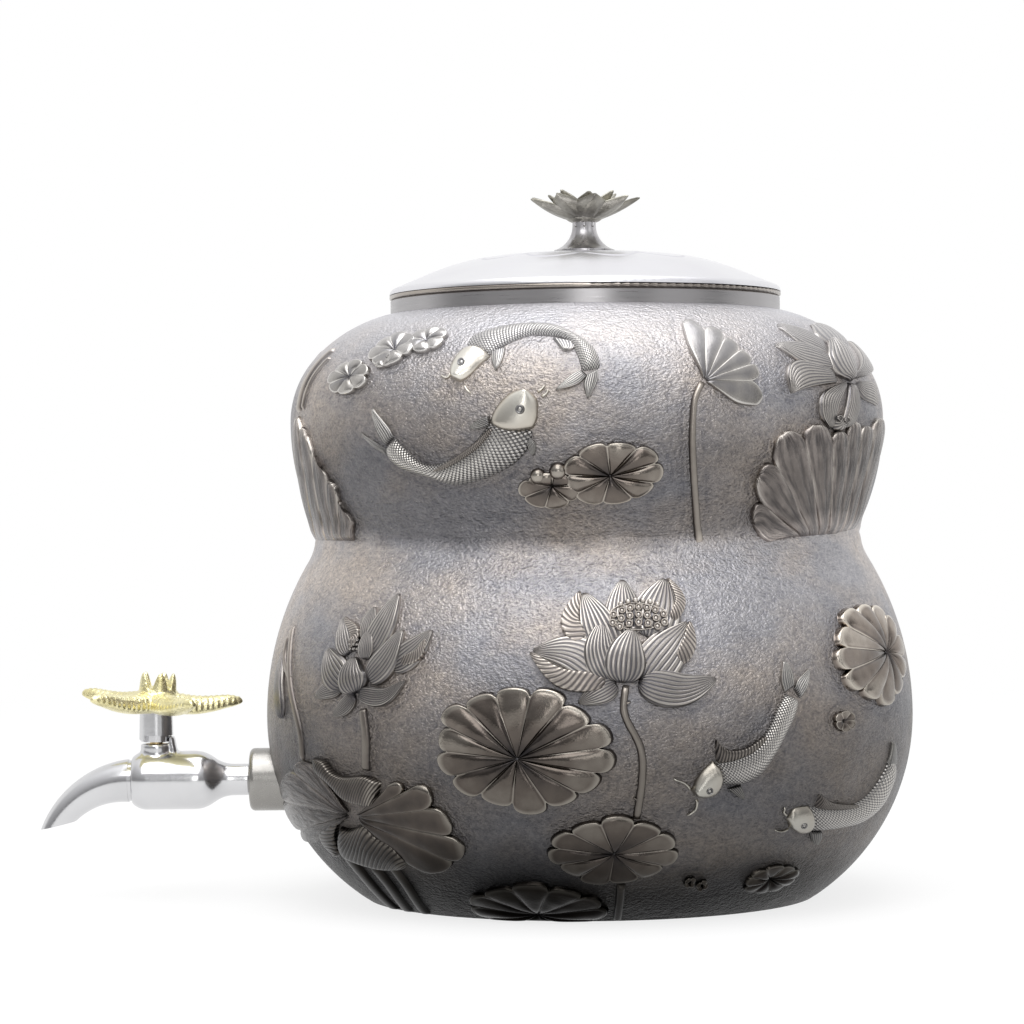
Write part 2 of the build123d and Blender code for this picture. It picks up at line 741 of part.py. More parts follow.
def tap_body():
    """Cast body: threaded shank, necked barrel, turret for the spindle and the handle's stop lug."""
    drop = barrel_radius - neck_radius
    throat = valve_reach - neck_length
    sweep_length = throat - barrel_back
    s_arc = (sweep_length * sweep_length + drop * drop) / (4 * drop)
    s_angle = degrees(asin(sweep_length / 2 / s_arc))
    nose_arc = arc_through(barrel_nose, barrel_radius - nose_radius)
    nose_angle = degrees(asin(barrel_nose / nose_arc))
    concave = swing((-throat, neck_radius + s_arc), s_arc, -90, s_angle - 90)
    convex = swing((-barrel_back, barrel_radius - s_arc), s_arc, 90 + s_angle, 90)
    shoulder = swing((barrel_front, barrel_radius - nose_arc), nose_arc, 90, 90 - nose_angle)
    outline = [
        Polyline(
            (-throat, neck_radius),
            (-valve_reach, neck_radius),
            (-valve_reach, shank_radius),
            (-valve_reach - shank_length, shank_radius),
            (-valve_reach - shank_length, 0),
            (nose, 0),
            shoulder @ 1,
        ),
        concave,
        convex,
        Line(convex @ 1, shoulder @ 0),
        shoulder,
    ]
    body = revolve(make_face(outline), Axis.X)
    body = Rot(90, 0, 0) * body
    turret = post(turret_radius, 0, turret_height)
    turret = chamfer(turret.edges().group_by(Axis.Z)[-1], turret_edge_chamfer)
    body += turret
    root = [edge for edge in body.edges() if turret_root(edge)]
    body = fillet(root, turret_root_round)
    body += stop_lug()
    body -= bar(passage_radius, -valve_reach - shank_length - overrun, 0)
    body -= bar(seat_radius + seat_clearance, -cavity_end, cavity_end + overrun)
    body -= bar(spigot_radius + thread_clearance, cavity_end, nose + overrun)
    body -= post(spindle_radius + spindle_clearance, 0, turret_height)
    body -= post(gland_bore_radius, ledge_top, turret_height + overrun)
    return on_tap(body)


def tap_seal():
    """Flat seal between the end of the tap's shank and the bottom of the boss's socket."""
    start = -valve_reach - shank_length - seal_sheet
    seal = bar(shank_radius - thread_clearance, start, start + seal_sheet)
    return on_tap(seal - bar(passage_radius, start - overrun, start + seal_sheet + overrun))


def turret_root(edge):
    """Whether an edge is part of the closed line where the turret meets the barrel."""
    box = edge.bounding_box()
    reach = turret_radius + thread_clearance
    near = box.max.X < reach and box.min.X > -reach and box.max.Y < reach and box.min.Y > -reach
    return near and box.min.Z > barrel_radius / 2 and box.max.Z < barrel_radius + thread_clearance


def stop_lug():
    """Lug behind the turret, towards the vessel, that the ferrule's notch turns against."""
    top = turret_height + stop_height
    outline = Polyline(
        (turret_radius / 2, 0),
        (stop_root_radius, 0),
        (stop_root_radius, barrel_radius),
        (stop_radius, top),
        (turret_radius / 2, top),
        close=True,
    )
    sector = revolve(Plane.XZ * make_face(outline), Axis.Z, 2 * stop_half_angle)
    lug = Rot(0, 0, 180 - stop_half_angle) * sector
    inside = ferrule_radius - stop_radius + turret_radius
    return lug - post(inside, turret_height, top + overrun)


def ball_seats():
    """The two seat rings that the ball turns between."""
    seat = bar(seat_radius, -cavity_end, -cavity_end + seat_length)
    seat -= bar(seat_bore_radius, -cavity_end - overrun, 0)
    seat -= Sphere(ball_radius + ball_clearance)
    return on_tap(joined([seat, Rot(0, 0, 180) * seat]))


def valve_ball():
    """Bored ball, shut at rest: its bore lies across the tap and its slot along it."""
    ball = Sphere(ball_radius) - Rot(90, 0, 0) * Cylinder(ball_bore_radius, 3 * ball_radius)
    slot_floor = ball_radius - ball_slot_depth
    slot = Box(3 * ball_radius, ball_slot_width, 2 * ball_slot_depth)
    return on_tap(ball - Pos(0, 0, slot_floor + ball_slot_depth) * slot)


def spindle():
    """Spindle with a tang in the ball's slot, a flange under the seal and a flat for the set screw."""
    tang_width = ball_slot_width - 2 * spindle_clearance
    tang_low = ball_radius - ball_slot_depth + spindle_clearance
    flange_low = ledge_top + spindle_clearance
    tang = Pos(0, 0, (tang_low + flange_low) / 2) * Box(
        2 * spindle_radius, tang_width, flange_low - tang_low
    )
    rod = tang & post(spindle_radius, tang_low, flange_low)
    rod += post(spindle_radius, ball_radius + spindle_clearance, spindle_top)
    rod += post(spindle_flange_radius, flange_low, flange_low + spindle_flange_height)
    flat = Pos(0, -2 * spindle_radius + flat_depth, turret_height + ferrule_gap + ferrule_height / 2)
    return on_tap(rod - flat * Box(3 * spindle_radius, 2 * spindle_radius, ferrule_height))


def spindle_ring():
    """Rubber ring round the spindle, squeezed between its flange and the gland."""
    low = ledge_top + 2 * spindle_clearance + spindle_flange_height
    seal = ring(
        spindle_radius + spindle_clearance / 2, gland_bore_radius - spindle_clearance, low, low + ring_height
    )
    return on_tap(fillet(seal.edges(), ring_height / 3))


def gland_nut():
    """Slotted ring nut in the turret that holds the seal and the spindle down."""
    high = turret_height - spindle_clearance
    nut = ring(
        spindle_radius + spindle_clearance, gland_bore_radius - thread_clearance, high - gland_height, high
    )
    slot = Pos(0, 0, high) * Box(3 * gland_bore_radius, gland_slot_width, 2 * gland_slot_depth)
    return on_tap(nut - slot)


def spout_section(angle, radius):
    """A circle square to the spout's line at an angle round its bend."""
    x = nose + spout_arc * sin(radians(angle))
    z = -spout_arc * (1 - cos(radians(angle)))
    return Pos(x, 0, z) * Rot(0, 90 + angle, 0) * Circle(radius)


def spout_core(inset):
    """The spout's tapered bend as a solid, inset from the outer face."""
    run_shares = (0.0, 0.3, 0.6, 1.0, 1.15)
    taper_shares = (0.0, 0.32, 0.65, 1.0, 1.12)
    fall = spout_radius - spout_tip_radius
    sections = [
        spout_section(spout_turn * run, spout_radius - fall * taper - inset)
        for run, taper in zip(run_shares, taper_shares)
    ]
    return loft(sections)


def tap_spout():
    """Tapered spout that turns down from the barrel, screwed into its nose by a short spigot."""
    spout = spout_core(0.0) + bar(spigot_radius, cavity_end, nose + overrun)
    groove = bar(2 * spout_radius, nose, nose + spout_groove_width)
    spout -= groove - bar(spout_radius - spout_joint_groove, nose - overrun, nose + 2 * spout_groove_width)
    spout -= spout_core(spout_wall)
    spout -= bar(seat_bore_radius, cavity_end - overrun, nose + overrun)
    tip_x = nose + spout_arc * sin(radians(spout_turn))
    tip_z = -spout_arc * (1 - cos(radians(spout_turn)))
    waste = Pos(0, 0, -spout_arc) * Box(2 * spout_arc, 2 * spout_arc, 2 * spout_arc)
    return on_tap(spout - Pos(tip_x, 0, tip_z) * Rot(0, tip_cut_tilt, 0) * waste)


# Handle pieces

ferrule_low = turret_height + ferrule_gap
ferrule_top = ferrule_low + ferrule_height


def handle_ferrule():
    """Tapered sleeve under the handle, notched below for the stop lug and tapped for its set screw."""
    sleeve = turned(
        Polyline(
            (0, ferrule_low),
            (ferrule_radius, ferrule_low),
            (ferrule_radius - ferrule_taper, ferrule_top),
            (0, ferrule_top),
            close=True,
        )
    )
    sleeve = chamfer(sleeve.edges().group_by(Axis.Z)[0], ferrule_edge_chamfer)
    sleeve -= post(spindle_radius + spindle_clearance, ferrule_low - overrun, spindle_top + spindle_clearance)
    reach = stop_half_angle + stop_play_angle
    notch = turned_sector(
        ferrule_radius - stop_radius + turret_radius - stop_clearance,
        2 * ferrule_radius,
        ferrule_low - overrun,
        turret_height + stop_height + stop_clearance,
        quarter_turn + 2 * reach,
    )
    sleeve -= Rot(0, 0, 180 - reach - quarter_turn) * notch
    hole = Pos(0, 0, ferrule_low + set_screw_height) * Rot(90, 0, 0)
    sleeve -= hole * post(set_screw_radius + thread_clearance, 0, 2 * ferrule_radius)
    return on_tap(sleeve)


def turned_sector(inner, outer, low, high, angle):
    """Part of a ring about Z, from the X axis round by an angle."""
    outline = Polyline((inner, low), (outer, low), (outer, high), (inner, high), close=True)
    return revolve(Plane.XZ * make_face(outline), Axis.Z, angle)


def ferrule_set_screw():
    """Headless screw that grips the spindle's flat through the ferrule."""
    start = spindle_radius - flat_depth + thread_clearance
    end = ferrule_radius - ferrule_taper - set_screw_recess
    screw = post(set_screw_radius, start, end)
    return on_tap(Pos(0, 0, ferrule_low + set_screw_height) * Rot(90, 0, 0) * screw)


def arm_section(run, width, height, lift):
    """A rounded section of one arm, flat below, at a distance from the handle's axis."""
    outline = [
        ThreePointArc((-width / 2, lift), (0, lift + height), (width / 2, lift)),
        Line((-width / 2, lift), (width / 2, lift)),
    ]
    plane = Plane(origin=(run, 0, 0), x_dir=(0, 1, 0), z_dir=(1, 0, 0))
    return plane * make_face(outline)


def star_arm():
    """One tapered arm that droops a little and curls up at its tip."""
    run_shares = (0.0, 0.3, 0.6, 0.85, 1.0)
    width_shares = (1.0, 0.9, 0.72, 0.5, 0.2)
    height_shares = (1.0, 0.8, 0.6, 0.42, 0.2)
    droop_shares = (0.0, -0.8, -1.0, 0.0, 0.0)
    curl_shares = (0.0, 0.0, 0.02, 0.3, 1.0)
    span = star_arm_length - star_root
    sections = [
        arm_section(
            star_root + span * run,
            star_root_width * width,
            star_root_height * height,
            star_droop * droop + star_curl * curl,
        )
        for run, width, height, droop, curl in zip(
            run_shares, width_shares, height_shares, droop_shares, curl_shares
        )
    ]
    return loft(sections)


def starfish_handle():
    """Five-armed cast handle with a crown of five lobes round its middle."""
    star = post(star_hub_radius, -star_droop, star_root_height)
    for i in range(star_arm_count):
        star += Rot(0, 0, star_turn + 360 / star_arm_count * i) * star_arm()
    star -= post(star_hub_radius + overrun, -star_root_height, 0)
    lobe = Rot(0, crown_lean, 0) * Pos(0, 0, crown_lobe_height / 2) * Cone(
        crown_lobe_radius, crown_lobe_tip_radius, crown_lobe_height
    )
    lobe = Pos(crown_radius, 0, star_root_height - star_droop) * lobe
    for i in range(star_arm_count):
        star += Rot(0, 0, 360 / star_arm_count * i) * lobe
    return on_tap(Pos(0, 0, ferrule_top) * star)


pieces = {
    "lower_shell": lower_shell,
    "upper_shell": upper_shell,
    "base_plate": base_plate,
    "leaf_relief": leaf_relief,
    "lotus_relief": lotus_relief,
    "koi_relief": koi_relief,
    "neck_collar": neck_collar,
    "tap_boss": tap_boss,
    "lid_dome": lid_dome,
    "lid_rim": lid_rim,
    "lid_skirt": lid_skirt,
    "knob_stem": knob_stem,
    "knob_flower": knob_flower,
    "knob_washer": knob_washer,
    "knob_bolt": knob_bolt,
    "tap_body": tap_body,
    "tap_seal": tap_seal,
    "ball_seats": ball_seats,
    "valve_ball": valve_ball,
    "spindle": spindle,
    "spindle_ring": spindle_ring,
    "gland_nut": gland_nut,
    "tap_spout": tap_spout,
    "handle_ferrule": handle_ferrule,
    "ferrule_set_screw": ferrule_set_screw,
    "starfish_handle": starfish_handle,
}

os.makedirs("parts", exist_ok=True)
for name, make in pieces.items():
    export_step(make(), f"parts/{name}.step")
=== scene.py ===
"""The looks of a gourd-shaped metal water dispenser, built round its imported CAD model.

Lengths are metres. The jar's axis is Z, its base stands at height 0 and its tap points along -X.
The relief on the jar is drawn as it is seen in the photograph, in the photograph's pixels, and is
carried back on to the wall along the camera's rays. Heights over the wall are millimetres.
"""

import json
import logging
from dataclasses import dataclass
from enum import Enum
from math import cos, pi, radians, sin

import bpy
import numpy as np
from mathutils import Matrix, Vector
from mathutils.kdtree import KDTree

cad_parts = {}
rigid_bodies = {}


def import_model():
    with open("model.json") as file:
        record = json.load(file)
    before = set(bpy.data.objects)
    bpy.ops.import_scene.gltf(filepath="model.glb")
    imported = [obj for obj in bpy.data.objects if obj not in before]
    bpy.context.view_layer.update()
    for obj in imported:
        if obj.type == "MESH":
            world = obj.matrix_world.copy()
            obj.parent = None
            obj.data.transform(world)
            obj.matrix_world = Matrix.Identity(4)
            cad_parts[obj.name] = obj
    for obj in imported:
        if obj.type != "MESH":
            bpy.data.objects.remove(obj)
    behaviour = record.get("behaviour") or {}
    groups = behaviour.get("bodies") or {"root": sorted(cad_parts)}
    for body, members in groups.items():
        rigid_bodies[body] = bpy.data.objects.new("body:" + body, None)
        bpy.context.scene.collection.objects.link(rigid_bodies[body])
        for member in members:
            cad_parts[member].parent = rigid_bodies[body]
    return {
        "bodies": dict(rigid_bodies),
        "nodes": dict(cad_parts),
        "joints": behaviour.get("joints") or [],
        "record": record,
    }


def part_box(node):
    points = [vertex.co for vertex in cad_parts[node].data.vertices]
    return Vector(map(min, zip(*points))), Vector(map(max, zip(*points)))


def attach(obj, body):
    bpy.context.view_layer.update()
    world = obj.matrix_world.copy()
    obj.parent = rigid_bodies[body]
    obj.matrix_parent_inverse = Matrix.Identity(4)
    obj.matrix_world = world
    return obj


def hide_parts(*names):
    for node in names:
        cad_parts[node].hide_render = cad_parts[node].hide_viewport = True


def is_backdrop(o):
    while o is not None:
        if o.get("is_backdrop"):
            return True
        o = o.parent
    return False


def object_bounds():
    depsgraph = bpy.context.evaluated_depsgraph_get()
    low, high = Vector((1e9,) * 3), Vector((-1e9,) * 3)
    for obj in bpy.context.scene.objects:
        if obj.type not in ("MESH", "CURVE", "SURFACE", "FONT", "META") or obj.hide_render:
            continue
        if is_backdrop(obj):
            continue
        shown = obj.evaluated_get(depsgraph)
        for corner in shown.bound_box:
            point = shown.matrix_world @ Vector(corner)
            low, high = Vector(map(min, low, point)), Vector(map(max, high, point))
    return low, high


LOG = logging.getLogger("dispenser")
MM = 0.001
TINY = 1e-9
HAIR = 1e-6
SEAM_GAP = 1e-5

Colour = tuple[float, float, float]
Pixel = tuple[float, float]
Array = np.ndarray
Piece = bpy.types.Object
Material = bpy.types.Material
Socket = bpy.types.NodeSocket


# Camera and wall


@dataclass(frozen=True)
class StudioCamera:
    """The camera at the photograph's viewpoint.

    The camera looks level along +Y apart from a small tilt and roll, and the photograph is square.
    """

    offset: float = -0.035
    distance: float = 1.5645
    height: float = 0.1858
    tilt_degrees: float = 0.271
    roll_degrees: float = 0.6
    focal_pixels: float = 3350.0
    frame_pixels: float = 1024.0
    sensor_mm: float = 36.0
    view_limit: float = 50.0

    def rays(self, px: Array, py: Array) -> tuple[Array, Array]:
        """Gives the eye point and the direction of the line of sight through each pixel.

        Args:
            px: Pixel columns, counted from the left.
            py: Pixel rows, counted from the top.

        Returns:
            The eye point, and one direction a pixel.
        """
        half = self.frame_pixels / 2
        seen_across = (np.asarray(px, float) - half) / self.focal_pixels
        seen_up = (half - np.asarray(py, float)) / self.focal_pixels
        tilt, roll = radians(self.tilt_degrees), radians(self.roll_degrees)
        across = seen_across * cos(roll) + seen_up * sin(roll)
        up = seen_up * cos(roll) - seen_across * sin(roll)
        forward = np.array([0.0, cos(tilt), -sin(tilt)])
        upward = np.array([0.0, sin(tilt), cos(tilt)])
        right = np.array([1.0, 0.0, 0.0])
        direction = forward + across[..., None] * right + up[..., None] * upward
        return np.array([self.offset, -self.distance, self.height]), direction

    def build(self) -> None:
        """Adds the camera to the scene and makes it the scene's camera."""
        clear_selection()
        bpy.ops.object.camera_add(
            location=(self.offset, -self.distance, self.height),
            rotation=(radians(90 - self.tilt_degrees), radians(self.roll_degrees), 0.0),
        )
        camera = bpy.context.object
        camera.name = "photo_camera"
        camera.data.sensor_width = self.sensor_mm
        camera.data.lens = self.focal_pixels / self.frame_pixels * self.sensor_mm
        camera.data.clip_end = self.view_limit
        bpy.context.scene.camera = camera


@dataclass(frozen=True)
class Arc:
    """One arc of the jar's wall line between two heights, in millimetres."""

    centre_radius: float
    centre_height: float
    size: float
    hollow: bool
    low: float
    high: float


@dataclass
class JarWall:
    """The outer line of the jar's wall as a chain of smooth arcs, in millimetres."""

    base_radius: float = 104.1
    belly_radius: float = 150.0
    belly_height: float = 84.3
    waist_rise: float = 83.4
    waist_arc: float = 22.0
    waist_depth: float = 10.9
    upper_inset: float = 12.3
    upper_rise: float = 52.9
    shoulder_rise: float = 50.5
    shoulder_arc: float = 44.4
    shoulder_turn: float = 43.5
    mouth_radius: float = 88.7
    table_points: int = 2000
    search_start: float = 140.0
    search_steps: int = 40
    least_height: float = 0.3

    def __post_init__(self) -> None:
        """Works out the arcs and the table of distance along the wall."""
        belly, low = self.belly_radius, self.belly_height
        upper = belly - self.upper_inset
        waist = upper - self.waist_depth
        waist_z = low + self.waist_rise
        upper_z = waist_z + self.upper_rise
        mouth_z = upper_z + self.shoulder_rise
        foot = belly - self.base_radius
        base = (low**2 + foot**2) / (2 * foot)
        crown = self._to_waist(belly, waist, self.waist_rise)
        under = self._to_waist(upper, waist, self.upper_rise)
        turn = radians(self.shoulder_turn)
        run = self.mouth_radius - upper + self.shoulder_arc
        lead = run * cos(turn) + self.shoulder_rise * sin(turn)
        extra = (run**2 + self.shoulder_rise**2 - self.shoulder_arc**2) / 2
        mouth = self.shoulder_arc + extra / (self.shoulder_arc - lead)
        shoulder_r = upper - self.shoulder_arc
        mouth_r = shoulder_r - (mouth - self.shoulder_arc) * cos(turn)
        mouth_c = upper_z - (mouth - self.shoulder_arc) * sin(turn)
        low_joint = waist_z - self.waist_rise * (self.waist_arc / (crown + self.waist_arc))
        high_joint = waist_z + self.upper_rise * (self.waist_arc / (under + self.waist_arc))
        turn_z = upper_z + self.shoulder_arc * sin(turn)
        self.arcs = [
            Arc(belly - base, low, base, False, 0.0, low),
            Arc(belly - crown, low, crown, False, low, low_joint),
            Arc(waist + self.waist_arc, waist_z, self.waist_arc, True, low_joint, high_joint),
            Arc(upper - under, upper_z, under, False, high_joint, upper_z),
            Arc(shoulder_r, upper_z, self.shoulder_arc, False, upper_z, turn_z),
            Arc(mouth_r, mouth_c, mouth, False, turn_z, mouth_z),
        ]
        self.waist_height = waist_z
        self.top = mouth_z
        self._heights = np.linspace(0.0, mouth_z, self.table_points)
        steps = np.hypot(np.diff(self._heights), np.diff(self.radius(self._heights)))
        self._runs = np.concatenate([[0.0], np.cumsum(steps)])

    def _to_waist(self, belly: float, waist: float, rise: float) -> float:
        """Gives the arc that leaves a belly upright and runs smoothly into the waist."""
        lead = belly - waist - self.waist_arc
        return (lead**2 + rise**2 - self.waist_arc**2) / (2 * (belly - waist))

    def _blend(self, height: Array) -> tuple[Array, Array, Array]:
        """Gives the wall's radius and outward normal at each height.

        Args:
            height: The heights, in millimetres.

        Returns:
            The radius, and the normal's shares outwards and upwards.
        """
        z = np.clip(np.asarray(height, float), 0.0, self.top)
        radius, across, up = np.zeros_like(z), np.zeros_like(z), np.zeros_like(z)
        for arc in self.arcs:
            here = (z >= arc.low) & (z <= arc.high)
            rise = z - arc.centre_height
            reach = np.sqrt(np.maximum(arc.size**2 - rise**2, 0.0))
            side = -1.0 if arc.hollow else 1.0
            radius = np.where(here, arc.centre_radius + side * reach, radius)
            across = np.where(here, reach / arc.size, across)
            up = np.where(here, side * rise / arc.size, up)
        return radius, across, up

    def radius(self, height: Array) -> Array:
        """Gives the wall's outer radius at each height."""
        return self._blend(height)[0]

    def run_at(self, height: Array) -> Array:
        """Gives the distance along the wall from the base up to each height."""
        return np.interp(height, self._heights, self._runs)

    def height_at(self, run: Array) -> Array:
        """Gives the height that lies a distance along the wall from the base."""
        return np.interp(run, self._runs, self._heights)

    def seen(self, camera: StudioCamera, px: Array, py: Array) -> tuple[Array, Array]:
        """Finds the spot of the wall that each pixel of the photograph shows.

        Args:
            camera: The camera that took the photograph.
            px: Pixel columns.
            py: Pixel rows.

        Returns:
            The azimuth from -Y towards +X in radians, and the height in millimetres.
        """
        eye, way = camera.rays(px, py)
        eye = eye / MM
        reach = (-eye[1] - self.search_start) / way[..., 1]
        for _ in range(self.search_steps):
            z = np.clip(eye[2] + reach * way[..., 2], 0.0, self.top)
            r = self.radius(z)
            a = way[..., 0] ** 2 + way[..., 1] ** 2
            b = eye[0] * way[..., 0] + eye[1] * way[..., 1]
            c = eye[0] ** 2 + eye[1] ** 2 - r**2
            root = np.sqrt(np.maximum(b**2 - a * c, 0.0))
            reach = 0.5 * reach + 0.5 * (-b - root) / a
        x = eye[0] + reach * way[..., 0]
        y = eye[1] + reach * way[..., 1]
        return np.arctan2(x, -y), np.clip(eye[2] + reach * way[..., 2], 0.0, self.top)

    def place(self, azimuth: Array, height: Array, proud: Array) -> Array:
        """Gives the points that stand proud of the wall, in metres.

        Args:
            azimuth: Angle from -Y towards +X, in radians.
            height: Height on the wall, in millimetres.
            proud: Distance out from the wall along its normal, in millimetres.

        Returns:
            One point a row.
        """
        r, across, up = self._blend(height)
        reach = r + proud * across
        rise = np.maximum(np.clip(height, 0.0, self.top) + proud * up, self.least_height)
        return np.stack([reach * np.sin(azimuth), -reach * np.cos(azimuth), rise], -1) * MM


WALL = JarWall()
CAMERA = StudioCamera()


# Mesh helpers


def clear_selection() -> None:
    """Deselects every object, so that an operator acts on the new piece alone."""
    if bpy.context.mode != "OBJECT":
        bpy.ops.object.mode_set(mode="OBJECT")
    bpy.ops.object.select_all(action="DESELECT")


def take(piece: Piece) -> None:
    """Selects one object alone and makes it active.

    Args:
        piece: The object.
    """
    clear_selection()
    piece.select_set(True)
    bpy.context.view_layer.objects.active = piece


def join(name: str, pieces: list[Piece]) -> Piece:
    """Joins several objects into one.

    Args:
        name: Name of the joined object.
        pieces: The objects, which the first one takes in.

    Returns:
        The joined object.
    """
    clear_selection()
    for piece in pieces:
        piece.select_set(True)
    bpy.context.view_layer.objects.active = pieces[0]
    if len(pieces) > 1:
        bpy.ops.object.join()
    whole = bpy.context.view_layer.objects.active
    whole.name = name
    whole.data.name = name
    return whole


def copy_of(piece: Piece, name: str = "") -> Piece:
    """Adds a copy of an object with a mesh of its own.

    Args:
        piece: The object.
        name: Name of the copy, if it needs one.

    Returns:
        The copy.
    """
    copy = piece.copy()
    copy.data = piece.data.copy()
    copy.name = name or piece.name
    bpy.context.scene.collection.objects.link(copy)
    return copy


def spin(piece: Piece, angle: float, axis: str = "Z") -> None:
    """Turns an object's mesh about an axis through the origin, by degrees."""
    piece.data.transform(Matrix.Rotation(radians(angle), 4, axis))


def shift(piece: Piece, x: float, y: float, z: float) -> None:
    """Moves an object's mesh, by millimetres."""
    piece.data.transform(Matrix.Translation((x * MM, y * MM, z * MM)))


def apply_modifier(piece: Piece, kind: str, **settings: object) -> None:
    """Adds a modifier to an object and applies it.

    Args:
        piece: The object.
        kind: Blender's name for the modifier's type.
        **settings: Values of the modifier's properties.
    """
    take(piece)
    modifier = piece.modifiers.new(kind.lower(), kind)
    for key, value in settings.items():
        setattr(modifier, key, value)
    bpy.ops.object.modifier_apply(modifier=modifier.name)


def smooth(piece: Piece, sharpest: float) -> None:
    """Shades an object smooth apart from edges over an angle in degrees."""
    take(piece)
    bpy.ops.object.shade_smooth_by_angle(angle=radians(sharpest))


def recast(piece: Piece, grain: float, rounds: int, sharpest: float = 80.0) -> None:
    """Makes an object one casting with soft corners.

    Args:
        piece: The object.
        grain: Size of the new mesh's faces, in millimetres.
        rounds: How many times its corners are eased.
        sharpest: The angle in degrees over which an edge stays sharp.
    """
    apply_modifier(piece, "REMESH", mode="VOXEL", voxel_size=grain * MM, use_smooth_shade=True)
    apply_modifier(piece, "SMOOTH", factor=0.5, iterations=rounds)
    smooth(piece, sharpest)


def weld(piece: Piece, gap: float = HAIR, outward: bool = False) -> None:
    """Merges doubled points, such as those of a seam.

    Args:
        piece: The object.
        gap: How far apart doubled points may lie, in metres.
        outward: Whether all faces are turned outwards too.
    """
    take(piece)
    bpy.ops.object.mode_set(mode="EDIT")
    bpy.ops.mesh.select_all(action="SELECT")
    bpy.ops.mesh.remove_doubles(threshold=gap)
    if outward:
        bpy.ops.mesh.normals_make_consistent(inside=False)
    bpy.ops.object.mode_set(mode="OBJECT")


def points_of(piece: Piece) -> Array:
    """Gives an object's points, one a row.

    Args:
        piece: The object.

    Returns:
        One point a row, in metres.
    """
    points = np.empty(len(piece.data.vertices) * 3)
    piece.data.vertices.foreach_get("co", points)
    return points.reshape(-1, 3)


def grid(columns: int, rows: int) -> tuple[Piece, Array, Array]:
    """Adds a flat grid with its UV map.

    Args:
        columns: Faces across.
        rows: Faces along.

    Returns:
        The object, and each point's share of the way across and along.
    """
    clear_selection()
    bpy.ops.mesh.primitive_grid_add(
        x_subdivisions=columns, y_subdivisions=rows, size=2.0, calc_uvs=True
    )
    piece = bpy.context.object
    points = points_of(piece)
    return piece, (points[:, 0] + 1) / 2, (points[:, 1] + 1) / 2


def at_ends(share: Array) -> Array:
    """Says which points lie at either end of the way."""
    return (share < HAIR) | (share > 1 - HAIR)


def set_points(piece: Piece, points: Array, polish: Array | None = None) -> None:
    """Moves an object's points and stores how polished each one is.

    Args:
        piece: The object.
        points: One point a row, in metres.
        polish: From 0, a dark hollow, to 1, a bright ridge; on the wall skin, the painted shade round the
            relief.
    """
    data = piece.data
    data.vertices.foreach_set("co", np.ascontiguousarray(points, float).ravel())
    if polish is not None:
        layer = data.attributes.get("polish") or data.attributes.new("polish", "FLOAT", "POINT")
        layer.data.foreach_set("value", np.clip(polish, 0, 1).astype(np.float32))
    data.update()


def lay_sheet(piece: Piece, across: Array, along: Array) -> None:
    """Rewrites an object's UV map from one value across and one along for each point.

    Args:
        piece: The object, before its doubled points are merged.
        across: The share of the width.
        along: The way along, in widths, so that a pattern keeps its shape.
    """
    corner = np.empty(len(piece.data.loops), np.int32)
    piece.data.loops.foreach_get("vertex_index", corner)
    both = np.stack([across[corner], along[corner]], -1).astype(np.float32)
    piece.data.uv_layers["UVMap"].data.foreach_set("uv", both.ravel())


def dress(piece: Piece, material: Material, slot: str, body: str, node: str = "") -> Piece:
    """Gives an object its finish and fixes it to the body that carries it.

    Args:
        piece: The object.
        material: Its finish.
        slot: The record's material slot; not used.
        body: The CAD body it moves with.
        node: The CAD node that it stands for, if any.

    Returns:
        The object.
    """
    piece.data.materials.clear()
    piece.data.materials.append(material)
    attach(piece, body)
    if node:
        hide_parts(node)
    LOG.info("%s: %d faces, on %s", piece.name, len(piece.data.polygons), body)
    return piece


# Finishes


# Pale lavender: the colour of the wall's random pale mottle, and of the painted sheen on the shoulder.
PALE_MOTTLE_AND_SHEEN: Colour = (0.66, 0.655, 0.69)
# Painted light and shade by height, in millimetres: bright where the wall faces up into the light, just under
# the waist and on the shoulder, and painted shade under the upper bulb and towards the foot.
PAINTED_LIGHT_TOP = 0.28
PAINTED_LIGHT_BY_HEIGHT = (
    (0, 0.01), (14, 0.03), (26, 0.09), (38, 0.205), (50, 0.25), (72, 0.275), (90, 0.385), (112, 0.66),
    (128, 0.86), (145, 1.0), (165, 1.0), (174, 0.45), (202, 0.41), (220, 0.62), (236, 0.80), (252, 0.92),
)


